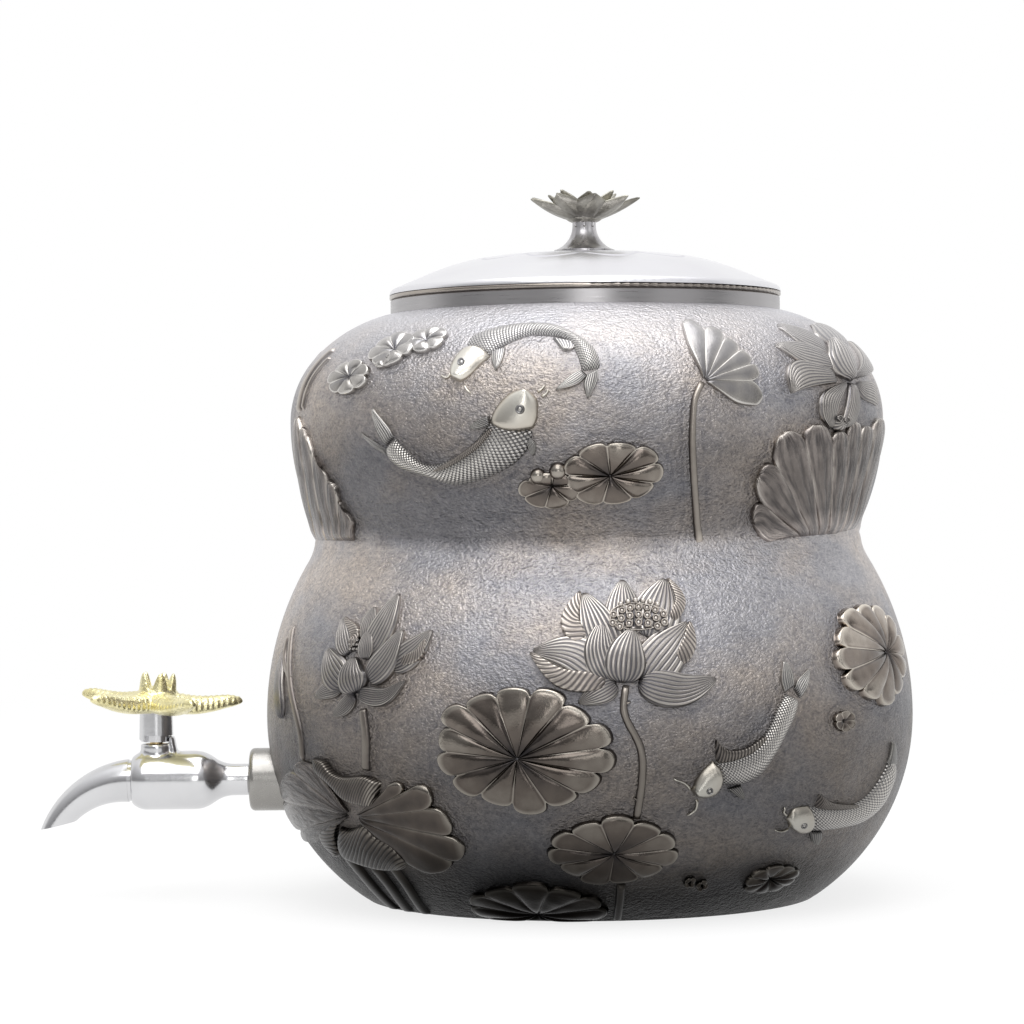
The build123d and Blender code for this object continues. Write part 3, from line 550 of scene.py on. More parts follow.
@dataclass
class Bench:
    """The node tree of one finish, or of the surroundings, while it is being mixed."""

    tree: bpy.types.NodeTree
    material: Material | None = None

    @classmethod
    def named(cls, name: str) -> "Bench":
        """Starts a new finish.

        Args:
            name: The finish's name.

        Returns:
            The bench.
        """
        material = bpy.data.materials.new(name)
        material.use_nodes = True
        return cls(material.node_tree, material)

    def add(
        self, kind: str, feeds: dict[str | int, object] | None = None, **values: object
    ) -> bpy.types.Node:
        """Adds a node, sets its properties and feeds its inputs.

        Args:
            kind: Blender's name for the node's type, after the words that all of them share.
            feeds: What goes into each input, by the input's name or number.
            **values: Properties of the node.

        Returns:
            The node.
        """
        node = self.tree.nodes.new("ShaderNode" + kind)
        for key, value in values.items():
            setattr(node, key, value)
        self.feed(node, feeds or {})
        return node

    def feed(self, node: bpy.types.Node, feeds: dict[str | int, object]) -> None:
        """Links each input, or sets it if the value is a number, a place or a colour.

        Args:
            node: The node.
            feeds: What goes into each input, by the input's name or number.
        """
        for key, value in feeds.items():
            socket = node.inputs[key]
            if isinstance(value, Socket):
                self.tree.links.new(value, socket)
            elif socket.type == "RGBA":
                socket.default_value = (*value, 1.0)
            else:
                socket.default_value = value

    def place(self) -> Socket:
        """Gives the point on the piece, in the part's own frame."""
        return self.add("TexCoord").outputs["Object"]

    def sheet(self) -> Socket:
        """Gives the piece's own UV map."""
        return self.add("UVMap", uv_map="UVMap").outputs["UV"]

    def wear_and_painted_light(self) -> Socket:
        """Gives the stored polish of the point: patina and rubbed-bright ridges on the relief, painted shade
        round the relief on the wall skin.
        """
        return self.add("Attribute", attribute_name="polish").outputs["Fac"]

    def axes(self, vector: Socket) -> object:
        """Splits a vector into its X, Y and Z."""
        return self.add("SeparateXYZ", {0: vector}).outputs

    def flat(self, x: Socket, y: Socket) -> Socket:
        """Puts X and Y together into a vector."""
        return self.add("CombineXYZ", {0: x, 1: y}).outputs[0]

    def length(self, vector: Socket) -> Socket:
        """Gives the length of a vector."""
        return self.add("VectorMath", {0: vector}, operation="LENGTH").outputs["Value"]

    def tint(self, colour: Socket, level: object) -> Socket:
        """Scales a colour or another vector by a level."""
        node = self.add("VectorMath", {0: colour, "Scale": level}, operation="SCALE")
        return node.outputs["Vector"]

    def stretched(self, vector: Socket, scale: tuple[float, float, float]) -> Socket:
        """Stretches a vector along each axis."""
        return self.add("Mapping", {"Scale": scale, "Vector": vector}).outputs["Vector"]

    def maths(self, operation: str, first: object, second: object = 0.0, clamp: bool = False) -> Socket:
        """Works out one sum of two values."""
        node = self.add("Math", {0: first, 1: second}, operation=operation, use_clamp=clamp)
        return node.outputs[0]

    def times(self, first: object, second: object, clamp: bool = False) -> Socket:
        """Multiplies two values."""
        return self.maths("MULTIPLY", first, second, clamp)

    def plus(self, first: object, second: object, clamp: bool = False) -> Socket:
        """Adds two values."""
        return self.maths("ADD", first, second, clamp)

    def less(self, first: object, second: object) -> Socket:
        """Takes the second value from the first."""
        return self.maths("SUBTRACT", first, second)

    def mix(self, share: object, first: object, second: object) -> Socket:
        """Mixes two colours."""
        feeds = {"Factor": share, "A": first, "B": second}
        return self.add("Mix", feeds, data_type="RGBA").outputs["Result"]

    def ramp(
        self, value: Socket, low: float, high: float, start: float = 0.0, end: float = 1.0
    ) -> Socket:
        """Stretches a value from one range to another, without going past its ends."""
        feeds = {"Value": value, "From Min": low, "From Max": high, "To Min": start, "To Max": end}
        return self.add("MapRange", feeds, clamp=True).outputs["Result"]

    def ladder(self, level: Socket, rungs: list[tuple[float, Colour]]) -> Socket:
        """Gives the colour that a level has on a ladder of colours.

        Args:
            level: The level from 0 to 1.
            rungs: The place and the colour of each rung.

        Returns:
            The colour.
        """
        node = self.add("ValToRGB", {"Fac": level})
        stops = node.color_ramp.elements
        while len(stops) < len(rungs):
            stops.new(0.5)
        for stop, (place, colour) in zip(stops, rungs):
            stop.position = place
            stop.color = (*colour, 1.0)
        return node.outputs["Color"]

    def noise(
        self, scale: float, detail: float = 3.0, stretch: tuple[float, float, float] | None = None
    ) -> Socket:
        """Gives a soft noise over the piece.

        Args:
            scale: Features a metre.
            detail: How many finer layers it has.
            stretch: Scale along each axis, if they differ.

        Returns:
            The noise from 0 to 1.
        """
        place = self.place()
        if stretch:
            place = self.stretched(place, stretch)
        feeds = {"Scale": scale, "Detail": detail, "Vector": place}
        return self.add("TexNoise", feeds).outputs["Fac"]

    def streaks(self, count: float, length: float = 0.45, drift: float = 14.0) -> Socket:
        """Gives uneven streaks that run along the piece's own UV map.

        Args:
            count: Streaks across the piece.
            length: How fast they change along the piece.
            drift: How much they differ from place to place.

        Returns:
            The streaks from 0 to 1.
        """
        along = self.stretched(self.sheet(), (count, length, 1.0))
        both = self.add("VectorMath", {0: along, 1: self.tint(self.place(), drift)}, operation="ADD")
        feeds = {"Scale": 2.0, "Detail": 4.0, "Vector": both.outputs["Vector"]}
        return self.ramp(self.add("TexNoise", feeds).outputs["Fac"], 0.36, 0.6)

    def painted_light_by_height(self, share: float = 1.0) -> Socket:
        """Gives the painted light and shade at each height, by PAINTED_LIGHT_BY_HEIGHT's heights in
        millimetres.

        Args:
            share: How strongly the finish follows it.

        Returns:
            The brightness of the painted light, near 1 where it is fullest.
        """
        height = self.axes(self.place())["Z"]
        drift = self.times(self.less(self.noise(11.0, 2.0), 0.5), 0.05)
        level = self.maths("DIVIDE", self.plus(height, drift), PAINTED_LIGHT_TOP)
        return self.ladder(
            level, [(height * MM / PAINTED_LIGHT_TOP, (1 + (value - 1) * share,) * 3) for height, value in PAINTED_LIGHT_BY_HEIGHT]
        )

    def high(self) -> Socket:
        """Gives how far up the shoulder the point is, where a painted sheen of the bright light above makes
        the metal pale.
        """
        return self.ramp(self.axes(self.place())["Z"], 0.235, 0.270, 0.0, 0.8)

    def bump(self, height: Socket, depth: float, under: Socket | None = None) -> Socket:
        """Turns a height into a bumped normal.

        Args:
            height: The height from 0 to 1.
            depth: What a height of 1 stands for, in metres.
            under: A normal to build on.

        Returns:
            The normal.
        """
        feeds = {"Strength": 1.0, "Distance": depth, "Height": height}
        if under is not None:
            feeds["Normal"] = under
        return self.add("Bump", feeds).outputs["Normal"]

    def close(self, colour: Socket, roughness: object, normal: Socket | None, **more: float) -> Material:
        """Closes the finish.

        Args:
            colour: Its colour.
            roughness: Its roughness.
            normal: Its bumped normal, if it has one.
            **more: Other inputs of the main shader.

        Returns:
            The finished material.
        """
        feeds = {"Base Color": colour, "Roughness": roughness, **more}
        if normal is not None:
            feeds["Normal"] = normal
        self.feed(self.tree.nodes["Principled BSDF"], feeds)
        return self.material

    def metal(self, colour: Socket, roughness: object, normal: Socket) -> Material:
        """Closes the finish as bare metal."""
        return self.close(colour, roughness, normal, Metallic=1.0)


@dataclass(frozen=True)
class PatinaFinish:
    """Hammered, leathery sheet metal with a brown-grey patina, darker towards the foot, with painted light
    and shade by height, a painted sheen high up and painted shade round the relief.
    """

    cool_pit: Colour = (0.27, 0.268, 0.295)
    cool_ridge: Colour = (0.51, 0.495, 0.505)
    warm_pit: Colour = (0.33, 0.295, 0.28)
    warm_ridge: Colour = (0.70, 0.615, 0.54)
    # Colour of the painted shade round the relief.
    shade_round_relief: Colour = (0.10, 0.108, 0.15)
    foot: Colour = (0.09, 0.09, 0.10)
    foot_height: float = 0.03
    grain_scale: float = 760.0
    grain_depth: float = 0.0016
    dent_scale: float = 60.0
    dent_depth: float = 0.0007

    def material(self) -> Material:
        """Mixes the finish.

        Returns:
            The finished material.
        """
        bench = Bench.named("patina")
        patches = bench.ramp(bench.noise(15.0, 3.0, (1.0, 1.0, 1.7)), 0.40, 0.62)
        mottle = bench.ramp(bench.noise(90.0, 4.0), 0.3, 0.75)
        grain = bench.noise(self.grain_scale, 3.0, (1.0, 1.0, 1.5))
        coarse = bench.noise(self.grain_scale * 0.42, 2.0, (1.0, 1.0, 1.7))
        height = bench.plus(bench.times(grain, 0.6), bench.times(coarse, 0.4))
        pit = bench.mix(patches, self.cool_pit, self.warm_pit)
        ridge = bench.mix(patches, self.cool_ridge, self.warm_ridge)
        # Hammer pits take the darker, cooler colours and ridges the paler ones: patina in the pits and
        # rubbed-bright ridges, with painted shade in the pits and painted light on the ridges.
        colour = bench.mix(bench.ramp(height, 0.34, 0.66), pit, ridge)
        colour = bench.mix(bench.times(mottle, 0.18), colour, PALE_MOTTLE_AND_SHEEN)
        # Painted sheen on the shoulder.
        colour = bench.mix(bench.high(), colour, PALE_MOTTLE_AND_SHEEN)
        low = bench.ramp(bench.axes(bench.place())["Z"], 0.0, self.foot_height, 0.75, 0.0)
        colour = bench.mix(low, colour, self.foot)
        # Painted shade round the relief, from the wall skin's stored polish.
        colour = bench.mix(bench.times(bench.wear_and_painted_light(), 0.9), colour, self.shade_round_relief)
        normal = bench.bump(height, self.grain_depth)
        normal = bench.bump(bench.noise(self.dent_scale, 1.0), self.dent_depth, normal)
        rough = bench.ramp(mottle, 0.0, 1.0, 0.43, 0.35)
        # Painted light and shade by height.
        return bench.metal(bench.tint(colour, bench.painted_light_by_height()), rough, normal)


@dataclass(frozen=True)
class ReliefFinish:
    """Cast relief metal: dark in its recesses and worn bright on its ridges."""

    name: str
    dark: Colour
    middle: Colour
    bright: Colour
    roughness: float = 0.3
    stripes: float = 0.0
    stripe_depth: float = 0.00025
    across: bool = False
    # How strongly the finish follows the painted light and shade by height.
    wear_and_painted_light: float = 1.0
    lumps: float = 0.0
    slant: float = 0.22
    streaky: bool = False

    def wave(self, bench: Bench) -> Socket:
        """Gives the stripes' height, along the piece's own UV map.

        Args:
            bench: The finish's node tree.

        Returns:
            The height from 0 to 1.
        """
        if self.streaky:
            return bench.streaks(self.stripes)
        axes = bench.axes(bench.sheet())
        way, other = (axes["Y"], axes["X"]) if self.across else (axes["X"], axes["Y"])
        slant = bench.times(other, self.slant if self.across else 0.0)
        wander = bench.times(bench.noise(120.0, 1.0), 1.6)
        phase = bench.plus(bench.times(bench.plus(way, slant), self.stripes * 2 * pi), wander)
        return bench.ramp(bench.maths("SINE", phase), -0.9, 0.45)

    def material(self) -> Material:
        """Mixes the finish.

        Returns:
            The finished material.
        """
        bench = Bench.named(self.name)
        cloud = bench.times(bench.less(bench.noise(160.0, 3.0), 0.5), 0.35)
        level = bench.plus(bench.wear_and_painted_light(), cloud, True)
        normal = bench.bump(bench.noise(900.0, 2.0), 0.00006)
        if self.lumps:
            normal = bench.bump(bench.noise(70.0, 1.0), self.lumps, normal)
        if self.stripes:
            wave = self.wave(bench)
            level = bench.times(level, bench.ramp(wave, 0.0, 1.0, 0.2, 1.15), True)
            normal = bench.bump(wave, self.stripe_depth, normal)
        low = bench.mix(bench.ramp(level, 0.0, 0.45), self.dark, self.middle)
        colour = bench.mix(bench.ramp(level, 0.45, 1.0), low, self.bright)
        # Painted sheen on the shoulder.
        colour = bench.mix(bench.times(bench.high(), 0.6), colour, PALE_MOTTLE_AND_SHEEN)
        # Painted light and shade by height, at this finish's share.
        return bench.metal(bench.tint(colour, bench.painted_light_by_height(self.wear_and_painted_light)), self.roughness, normal)


@dataclass(frozen=True)
class ScaleFinish:
    """Fish skin: rows of small scales, bright in the middle and dark between."""

    dark: Colour = (0.14, 0.14, 0.155)
    bright: Colour = (0.96, 0.92, 0.86)
    rows: float = 7.2
    depth: float = 0.0007
    roughness: float = 0.36

    def material(self) -> Material:
        """Mixes the finish.

        Returns:
            The finished material.
        """
        bench = Bench.named("koi_scales")
        axes = bench.axes(bench.sheet())
        u, v = bench.times(axes["X"], self.rows), bench.times(axes["Y"], self.rows)
        slanted = bench.flat(bench.plus(u, v), bench.less(u, v))
        near = bench.add("TexVoronoi", {"Scale": 1.0, "Randomness": 0.0, "Vector": slanted})
        scale = bench.ramp(near.outputs["Distance"], 0.28, 0.64, 1.0, 0.0)
        level = bench.times(scale, bench.ramp(bench.wear_and_painted_light(), 0.0, 1.0, 0.35, 1.0), True)
        colour = bench.mix(level, self.dark, self.bright)
        # Painted sheen on the shoulder.
        colour = bench.mix(bench.times(bench.high(), 0.7), colour, PALE_MOTTLE_AND_SHEEN)
        # Painted light and shade by height, at a share of 0.6.
        colour = bench.tint(colour, bench.painted_light_by_height(0.6))
        return bench.metal(colour, self.roughness, bench.bump(scale, self.depth))


@dataclass(frozen=True)
class PlainMetalFinish:
    """Worked metal with fine brushing or casting grain."""

    name: str
    colour: Colour
    shade: Colour
    roughness: float = 0.2
    grain: float = 400.0
    stretch: tuple[float, float, float] | None = None
    depth: float = 0.00004
    patch_scale: float = 40.0

    def material(self) -> Material:
        """Mixes the finish.

        Returns:
            The finished material.
        """
        bench = Bench.named(self.name)
        patches = bench.ramp(bench.noise(self.patch_scale, 3.0), 0.35, 0.7)
        colour = bench.mix(patches, self.colour, self.shade)
        grain = bench.noise(self.grain, 3.0, self.stretch)
        rough = bench.ramp(grain, 0.2, 0.8, self.roughness * 0.8, self.roughness * 1.25)
        return bench.metal(colour, rough, bench.bump(grain, self.depth))


@dataclass(frozen=True)
class LidFinish:
    """Bright sheet with a faint ring of pressed leaves round the knob, worn almost flat."""

    colour: Colour = (0.84, 0.84, 0.86)
    shade: Colour = (0.74, 0.735, 0.765)
    # Colour of the painted shade along the slopes of the pressed ring.
    line: Colour = (0.5, 0.49, 0.56)
    leaves: float = 12.0
    lobe_depth: float = 0.009
    ring_start: float = 0.020
    ring_end: float = 0.062
    inner_slope: float = 0.012
    outer_slope: float = 0.003
    depth: float = 0.0007
    dent_depth: float = 0.0008

    def ring(self, bench: Bench) -> Socket:
        """Gives the pressed leaves' height.

        Args:
            bench: The finish's node tree.

        Returns:
            The height from 0 to 1.
        """
        axes = bench.axes(bench.place())
        turn = bench.maths("ARCTAN2", axes["Y"], axes["X"])
        distance = bench.length(bench.flat(axes["X"], axes["Y"]))
        wander = bench.times(bench.noise(25.0, 1.0), 0.5)
        half_turn = bench.plus(bench.times(turn, self.leaves / 2), wander)
        lobe = bench.maths("ABSOLUTE", bench.maths("SINE", half_turn))
        edge = bench.plus(bench.times(lobe, self.lobe_depth), self.ring_end - self.lobe_depth)
        outer = bench.ramp(bench.less(edge, distance), 0.0, self.outer_slope)
        inner = bench.ramp(distance, self.ring_start, self.ring_start + self.inner_slope)
        return bench.times(bench.times(inner, outer), bench.ramp(lobe, 0.0, 0.3, 0.55, 1.0))

    def material(self) -> Material:
        """Mixes the finish.

        Returns:
            The finished material.
        """
        bench = Bench.named("bright_lid")
        ring = self.ring(bench)
        normal = bench.bump(ring, self.depth)
        normal = bench.bump(bench.noise(26.0, 2.0), self.dent_depth, normal)
        patches = bench.ramp(bench.noise(12.0, 3.0), 0.35, 0.7)
        # Painted shade along the slopes of the pressed ring of leaves.
        painted_ring_shade = bench.times(bench.times(ring, bench.less(1.0, ring)), 1.6, True)
        colour = bench.mix(painted_ring_shade, bench.mix(patches, self.colour, self.shade), self.line)
        return bench.metal(colour, bench.ramp(patches, 0.0, 1.0, 0.26, 0.34), normal)


@dataclass(frozen=True)
class SoftFinish:
    """Rubber or plastic with a fine matt skin."""

    name: str
    colour: Colour
    roughness: float
    shade: float = 0.75
    depth: float = 0.00003

    def material(self) -> Material:
        """Mixes the finish.

        Returns:
            The finished material.
        """
        bench = Bench.named(self.name)
        cloud = bench.noise(300.0, 3.0)
        colour = bench.mix(cloud, self.colour, tuple(c * self.shade for c in self.colour))
        return bench.close(colour, self.roughness, bench.bump(cloud, self.depth))


class Finish(Enum):
    """The finishes of the wall and the relief: dark, middle and bright, and how they are worked."""

    PATINA = PatinaFinish()
    LEAF = ReliefFinish(
        "leaf_bronze", (0.085, 0.078, 0.08), (0.34, 0.29, 0.252), (0.88, 0.81, 0.71), 0.22, lumps=0.0015
    )
    PETAL = ReliefFinish(
        "petal_silver", (0.10, 0.10, 0.12), (0.42, 0.39, 0.365), (0.72, 0.68, 0.63), 0.32, 9.0, 0.0003
    )
    TURNED = ReliefFinish(
        "turned_edge", (0.09, 0.085, 0.09), (0.45, 0.40, 0.36), (0.78, 0.72, 0.65), 0.3, 3.6, 0.0003,
        True, slant=0.7,
    )
    SEED = ReliefFinish("seed_silver", (0.1, 0.1, 0.115), (0.44, 0.41, 0.385), (0.78, 0.73, 0.67))
    FIN = ReliefFinish("fin_rays", (0.12, 0.12, 0.14), (0.56, 0.54, 0.51), (0.84, 0.81, 0.76), 0.3, 6.0)
    STEM = ReliefFinish("stem_metal", (0.1, 0.1, 0.11), (0.38, 0.335, 0.3), (0.62, 0.565, 0.5), 0.33)
    # Polished koi heads, their colours raised to carry part of a painted highlight; HEAD and EYE follow the
    # painted light and shade by height only in part.
    HEAD = ReliefFinish("koi_head", (0.28, 0.25, 0.20), (0.85, 0.79, 0.69), (1.0, 0.97, 0.88), wear_and_painted_light=0.85)
    EYE = ReliefFinish("koi_eye", (0.14, 0.14, 0.145), (0.34, 0.33, 0.32), (0.7, 0.67, 0.62), wear_and_painted_light=0.5)
    # Follows the painted light and shade by height only in part.
    SILVER = ReliefFinish(
        "leaf_silver", (0.12, 0.12, 0.14), (0.38, 0.36, 0.335), (0.84, 0.81, 0.77), 0.27, wear_and_painted_light=0.75,
        lumps=0.0011,
    )
    FOLD = ReliefFinish(
        "leaf_fold", (0.09, 0.085, 0.085), (0.42, 0.37, 0.33), (0.84, 0.77, 0.68), 0.3, 7.0, 0.0002,
        True, slant=0.5,
    )
    STREAK = ReliefFinish(
        "leaf_streaked", (0.12, 0.11, 0.11), (0.46, 0.41, 0.38), (0.9, 0.84, 0.77), 0.27, 3.0, 0.00026,
        streaky=True,
    )
    SCALES = ScaleFinish()


def spun(name: str, colour: Colour, shade: Colour, roughness: float) -> PlainMetalFinish:
    """Gives metal whose grain runs round Z."""
    return PlainMetalFinish(name, colour, shade, roughness, 900.0, (0.06, 0.06, 1.6), 0.00001, 18.0)


# Relief on the jar


SUNK = -0.35
SHEET_COLUMNS = 12
SHEET_SHARES = np.linspace(0, 1, SHEET_COLUMNS + 1)
EDGE_WAYS = np.array([-1.0, -0.985, -0.93, -0.82, -0.6, -0.3, 0.0, 0.3, 0.6, 0.82, 0.93, 0.985, 1.0])
EDGE_HEIGHTS = np.array([-0.15, 0.35, 0.9, 1.0, 0.97, 0.99, 1.0, 0.99, 0.97, 1.0, 0.9, 0.35, -0.15])
EDGE_POLISH = np.array([0.25, 0.45, 1.0, 0.75, 0.5, 0.5, 0.5, 0.5, 0.5, 0.75, 1.0, 0.45, 0.25])
RIM_POLISH = np.array([0.3, 0.55, 1.0, 0.6, 0.36, 0.3, 0.27, 0.3, 0.36, 0.6, 1.0, 0.55, 0.3])
RING_SHARES = np.array(
    [0.0, 0.05, 0.12, 0.25, 0.4, 0.55, 0.7, 0.82, 0.9, 0.94, 0.965, 0.985, 1.0, 1.01, 1.02]
)
RING_RISES = np.array(
    [-0.1, 0.02, 0.12, 0.3, 0.42, 0.5, 0.58, 0.65, 0.74, 0.95, 1.0, 0.85, 0.35, 0.0, -0.35]
)
RING_POLISH = np.array(
    [0.0, 0.05, 0.12, 0.22, 0.3, 0.36, 0.42, 0.44, 0.4, 0.8, 1.0, 0.75, 0.45, 0.3, 0.3]
)
BEAD_SHARES = ((0.0, 0.3, 0.5, 0.7, 0.85, 0.97, 1.0), (0.75, 0.7, 0.3, 1.0, 0.95, 0.4, 0.0))


@dataclass
class Patch:
    """A flat drawing plane laid on the jar's wall about one spot, in millimetres.

    The plane's X runs round the jar and its Y runs up the wall.
    """

    centre: Pixel

    def __post_init__(self) -> None:
        """Finds the spot on the wall."""
        azimuth, height = self.seen(self.centre)
        self.azimuth = float(azimuth[0])
        self.run = float(WALL.run_at(height[0]))
        self.reach = float(WALL.radius(height)[0])

    def seen(self, pixel: Pixel) -> tuple[Array, Array]:
        """Gives the azimuth and the height that a pixel shows."""
        return WALL.seen(CAMERA, np.array([pixel[0]]), np.array([pixel[1]]))

    def at(self, pixel: Pixel) -> Array:
        """Gives the place on the plane that a pixel shows."""
        azimuth, height = self.seen(pixel)
        return np.array([(azimuth[0] - self.azimuth) * self.reach, WALL.run_at(height[0]) - self.run])

    def span(self, pixel: Pixel, way: Array, width: float) -> float:
        """Gives a width on the plane from a width in pixels.

        Args:
            pixel: Where the width is measured.
            way: Direction of the width on the plane.
            width: The width in pixels.

        Returns:
            The width in millimetres, held back where the wall turns away from the camera.
        """
        home = self.at(pixel)
        right = (self.at((pixel[0] + 2, pixel[1])) - home) / 2
        up = (self.at((pixel[0], pixel[1] - 2)) - home) / 2
        stretch = abs(way[0]) * min(abs(right[0]), 1.2) + abs(way[1]) * min(abs(up[1]), 0.7)
        return width * max(stretch, 0.4)

    def radii(self, pixel: Pixel, wide: float, tall: float) -> tuple[float, float]:
        """Gives a width round the jar and one up the wall from widths in pixels."""
        across, up = np.array([1.0, 0.0]), np.array([0.0, 1.0])
        return self.span(pixel, across, wide), self.span(pixel, up, tall)

    def breadth(self, line: list[Pixel], width: float) -> float:
        """Gives the breadth of a long shape about a line from its breadth in pixels.

        Args:
            line: The line, in pixels.
            width: The breadth, in pixels.

        Returns:
            The breadth in millimetres.
        """
        chord = self.at(line[-1]) - self.at(line[0])
        chord = chord / max(np.hypot(*chord), TINY)
        return self.span(line[len(line) // 2], np.array([chord[1], -chord[0]]), width)

    def press(
        self,
        piece: Piece,
        spot: Array,
        proud: Array,
        polish: Array,
        sheet: tuple[Array, Array] | None = None,
    ) -> Piece:
        """Lays an object's points on the wall and closes its seams.

        Args:
            piece: The object.
            spot: Each point's place on the plane.
            proud: How far each point stands out.
            polish: How bright each point is worn, from 0 to 1.
            sheet: Each point's share of the width and its way along in widths, for a new UV map.

        Returns:
            The object.
        """
        height = WALL.height_at(self.run + spot[:, 1])
        set_points(piece, WALL.place(self.azimuth + spot[:, 0] / self.reach, height, proud), polish)
        if sheet:
            lay_sheet(piece, *sheet)
        weld(piece)
        return piece


def bend_through(points: list[Array], share: Array) -> tuple[Array, Array]:
    """Runs a smooth line through points.

    Args:
        points: The points, one or more apart.
        share: How far along the line each wanted place is, from 0 to 1.

    Returns:
        The places, and the direction to the line's right there.
    """
    knots = np.array(points, float)
    steps = np.hypot(*np.diff(knots, axis=0).T)
    at = np.concatenate([[0.0], np.cumsum(steps)]) / steps.sum()
    ends = np.vstack([2 * knots[0] - knots[1], knots, 2 * knots[-1] - knots[-2]])
    index = np.clip(np.searchsorted(at, share, side="right") - 1, 0, len(knots) - 2)
    t = ((share - at[index]) / (at[index + 1] - at[index]))[:, None]
    p0, p1, p2, p3 = ends[index], ends[index + 1], ends[index + 2], ends[index + 3]
    lead, curve, twist = p2 - p0, 2 * p0 - 5 * p1 + 4 * p2 - p3, 3 * p1 - p0 - 3 * p2 + p3
    places = 0.5 * (2 * p1 + lead * t + curve * t**2 + twist * t**3)
    slope = 0.5 * (lead + 2 * curve * t + 3 * twist * t**2)
    slope /= np.maximum(np.hypot(slope[:, 0], slope[:, 1]), TINY)[:, None]
    return places, np.stack([slope[:, 1], -slope[:, 0]], -1)


def length_of(knots: list[Array]) -> float:
    """Gives the length of a line through points."""
    return float(np.hypot(*np.diff(np.array(knots), axis=0).T).sum())


@dataclass
class Petal:
    """One petal, fin or turned edge: a long sheet from its base to its tip.

    Places and widths are pixels of the photograph, and heights are millimetres.
    """

    line: list[Pixel]
    width: float
    proud: float = 2.2
    low: float = 0.8
    pointed: float = 0.95
    blunt_base: float = 0.5
    crown: float = 0.25
    finish: Finish = Finish.PETAL
    rows: int = 16

    def build(self, patch: Patch) -> Piece:
        """Models the petal on the wall.

        Args:
            patch: The drawing plane it lies on.

        Returns:
            Its object.
        """
        piece, u, v = grid(SHEET_COLUMNS, self.rows)
        knots = [patch.at(p) for p in self.line]
        place, across = bend_through(knots, v)
        half = patch.breadth(self.line, self.width) / 2
        peak = self.blunt_base / (self.blunt_base + self.pointed)
        shape = (v**self.blunt_base) * ((1 - v) ** self.pointed)
        shape /= (peak**self.blunt_base) * ((1 - peak) ** self.pointed)
        spread = np.interp(u, SHEET_SHARES, EDGE_WAYS)
        spot = place + across * (spread * half * shape)[:, None]
        top = self.low + (self.proud - self.low) * np.sin(pi * np.clip(v * 0.85 + 0.1, 0, 1)) ** 0.8
        cross = np.interp(spread, EDGE_WAYS, EDGE_HEIGHTS)
        dome = self.crown * half * (1 - spread**2) * np.sin(pi * np.clip(v, 0, 1)) ** 0.5 * 0.25
        proud = np.where(at_ends(v), SUNK, np.maximum(top * cross + dome * (cross > 0), SUNK))
        polish = np.interp(spread, EDGE_WAYS, EDGE_POLISH) * np.where(at_ends(v), 0.5, 1.0)
        polish = polish * np.interp(v, [0, 0.1, 0.35, 1], [0.3, 0.6, 1.0, 1.15])
        sheet = ((spread + 1) / 2, v * length_of(knots) / (2 * half))
        return patch.press(piece, spot, proud, polish, sheet)


@dataclass
class Leaf:
    """A round lotus leaf: lobed panels between raised veins, with a raised rim."""

    hub: Pixel
    centre: Pixel
    half_width: float
    half_height: float
    lobes: int
    turn: float = 0.0
    tilt: float = 0.0
    proud: float = 2.4
    notch: float = 0.15
    puff: float = 1.7
    spokes: int = 10
    uneven: float = 0.05
    vein_height: float = 0.5
    finish: Finish = Finish.LEAF

    def rim(self, patch: Patch, angle: Array, size: Array) -> Array:
        """Gives the places of the leaf's rim.

        Args:
            patch: The drawing plane.
            angle: The direction of each place from the leaf's middle.
            size: The share of the full reach there.

        Returns:
            One place a row.
        """
        wide, tall = patch.radii(self.centre, self.half_width, self.half_height)
        lean = radians(self.tilt)
        ex, ey = wide * np.cos(angle) * size, tall * np.sin(angle) * size
        turned = np.stack([ex * cos(lean) - ey * sin(lean), ex * sin(lean) + ey * cos(lean)], -1)
        return patch.at(self.centre) + turned

    def build(self, patch: Patch) -> Piece:
        """Models the leaf on the wall.

        Args:
            patch: The drawing plane it lies on.

        Returns:
            Its object.
        """
        rings = len(RING_SHARES) - 1
        piece, u, v = grid(self.lobes * self.spokes, rings)
        number = np.floor(u * self.lobes + TINY)
        within = np.clip(u * self.lobes - number, 0, 1)
        eased = within - 0.09 * np.sin(2 * pi * within)
        angle = radians(self.turn) - np.radians(360.0 * (number + eased) / self.lobes)
        index = np.round(v * rings).astype(int)
        ring, rise, shine = RING_SHARES[index], RING_RISES[index], RING_POLISH[index]
        arch = np.sin(pi * within) ** 0.55
        size = 1 - self.notch * (1 - arch) + self.uneven * np.sin(number * 2.4 + 1.0) * arch
        hub = patch.at(self.hub)
        spot = hub + (self.rim(patch, angle, size) - hub) * ring[:, None]
        side = np.minimum(within, 1 - within)
        vein = np.exp(-((side / 0.03) ** 2))
        groove = np.exp(-(((side - 0.085) / 0.04) ** 2))
        inside = (ring < 0.94) & (ring > 0.04)
        lift = self.puff * (1 + 0.35 * np.sin(number * 1.7 + 0.5))
        body = lift * np.sin(pi * within) ** 0.7 * np.sin(pi * np.clip(ring, 0, 1)) ** 0.6
        body = np.where(inside, body, 0.0)
        ribs = np.where(inside, self.vein_height * vein * np.clip(ring * 4, 0, 1), 0.0)
        gleam = 0.65 * vein * np.clip(ring * 5, 0, 1) - 0.2 * groove + 0.12 * arch * ring
        polish = shine + np.where(inside, gleam + 0.13 * np.sin(number * 1.9 + 0.7), 0.0)
        return patch.press(piece, spot, np.maximum(self.proud * rise + body + ribs, SUNK), polish)


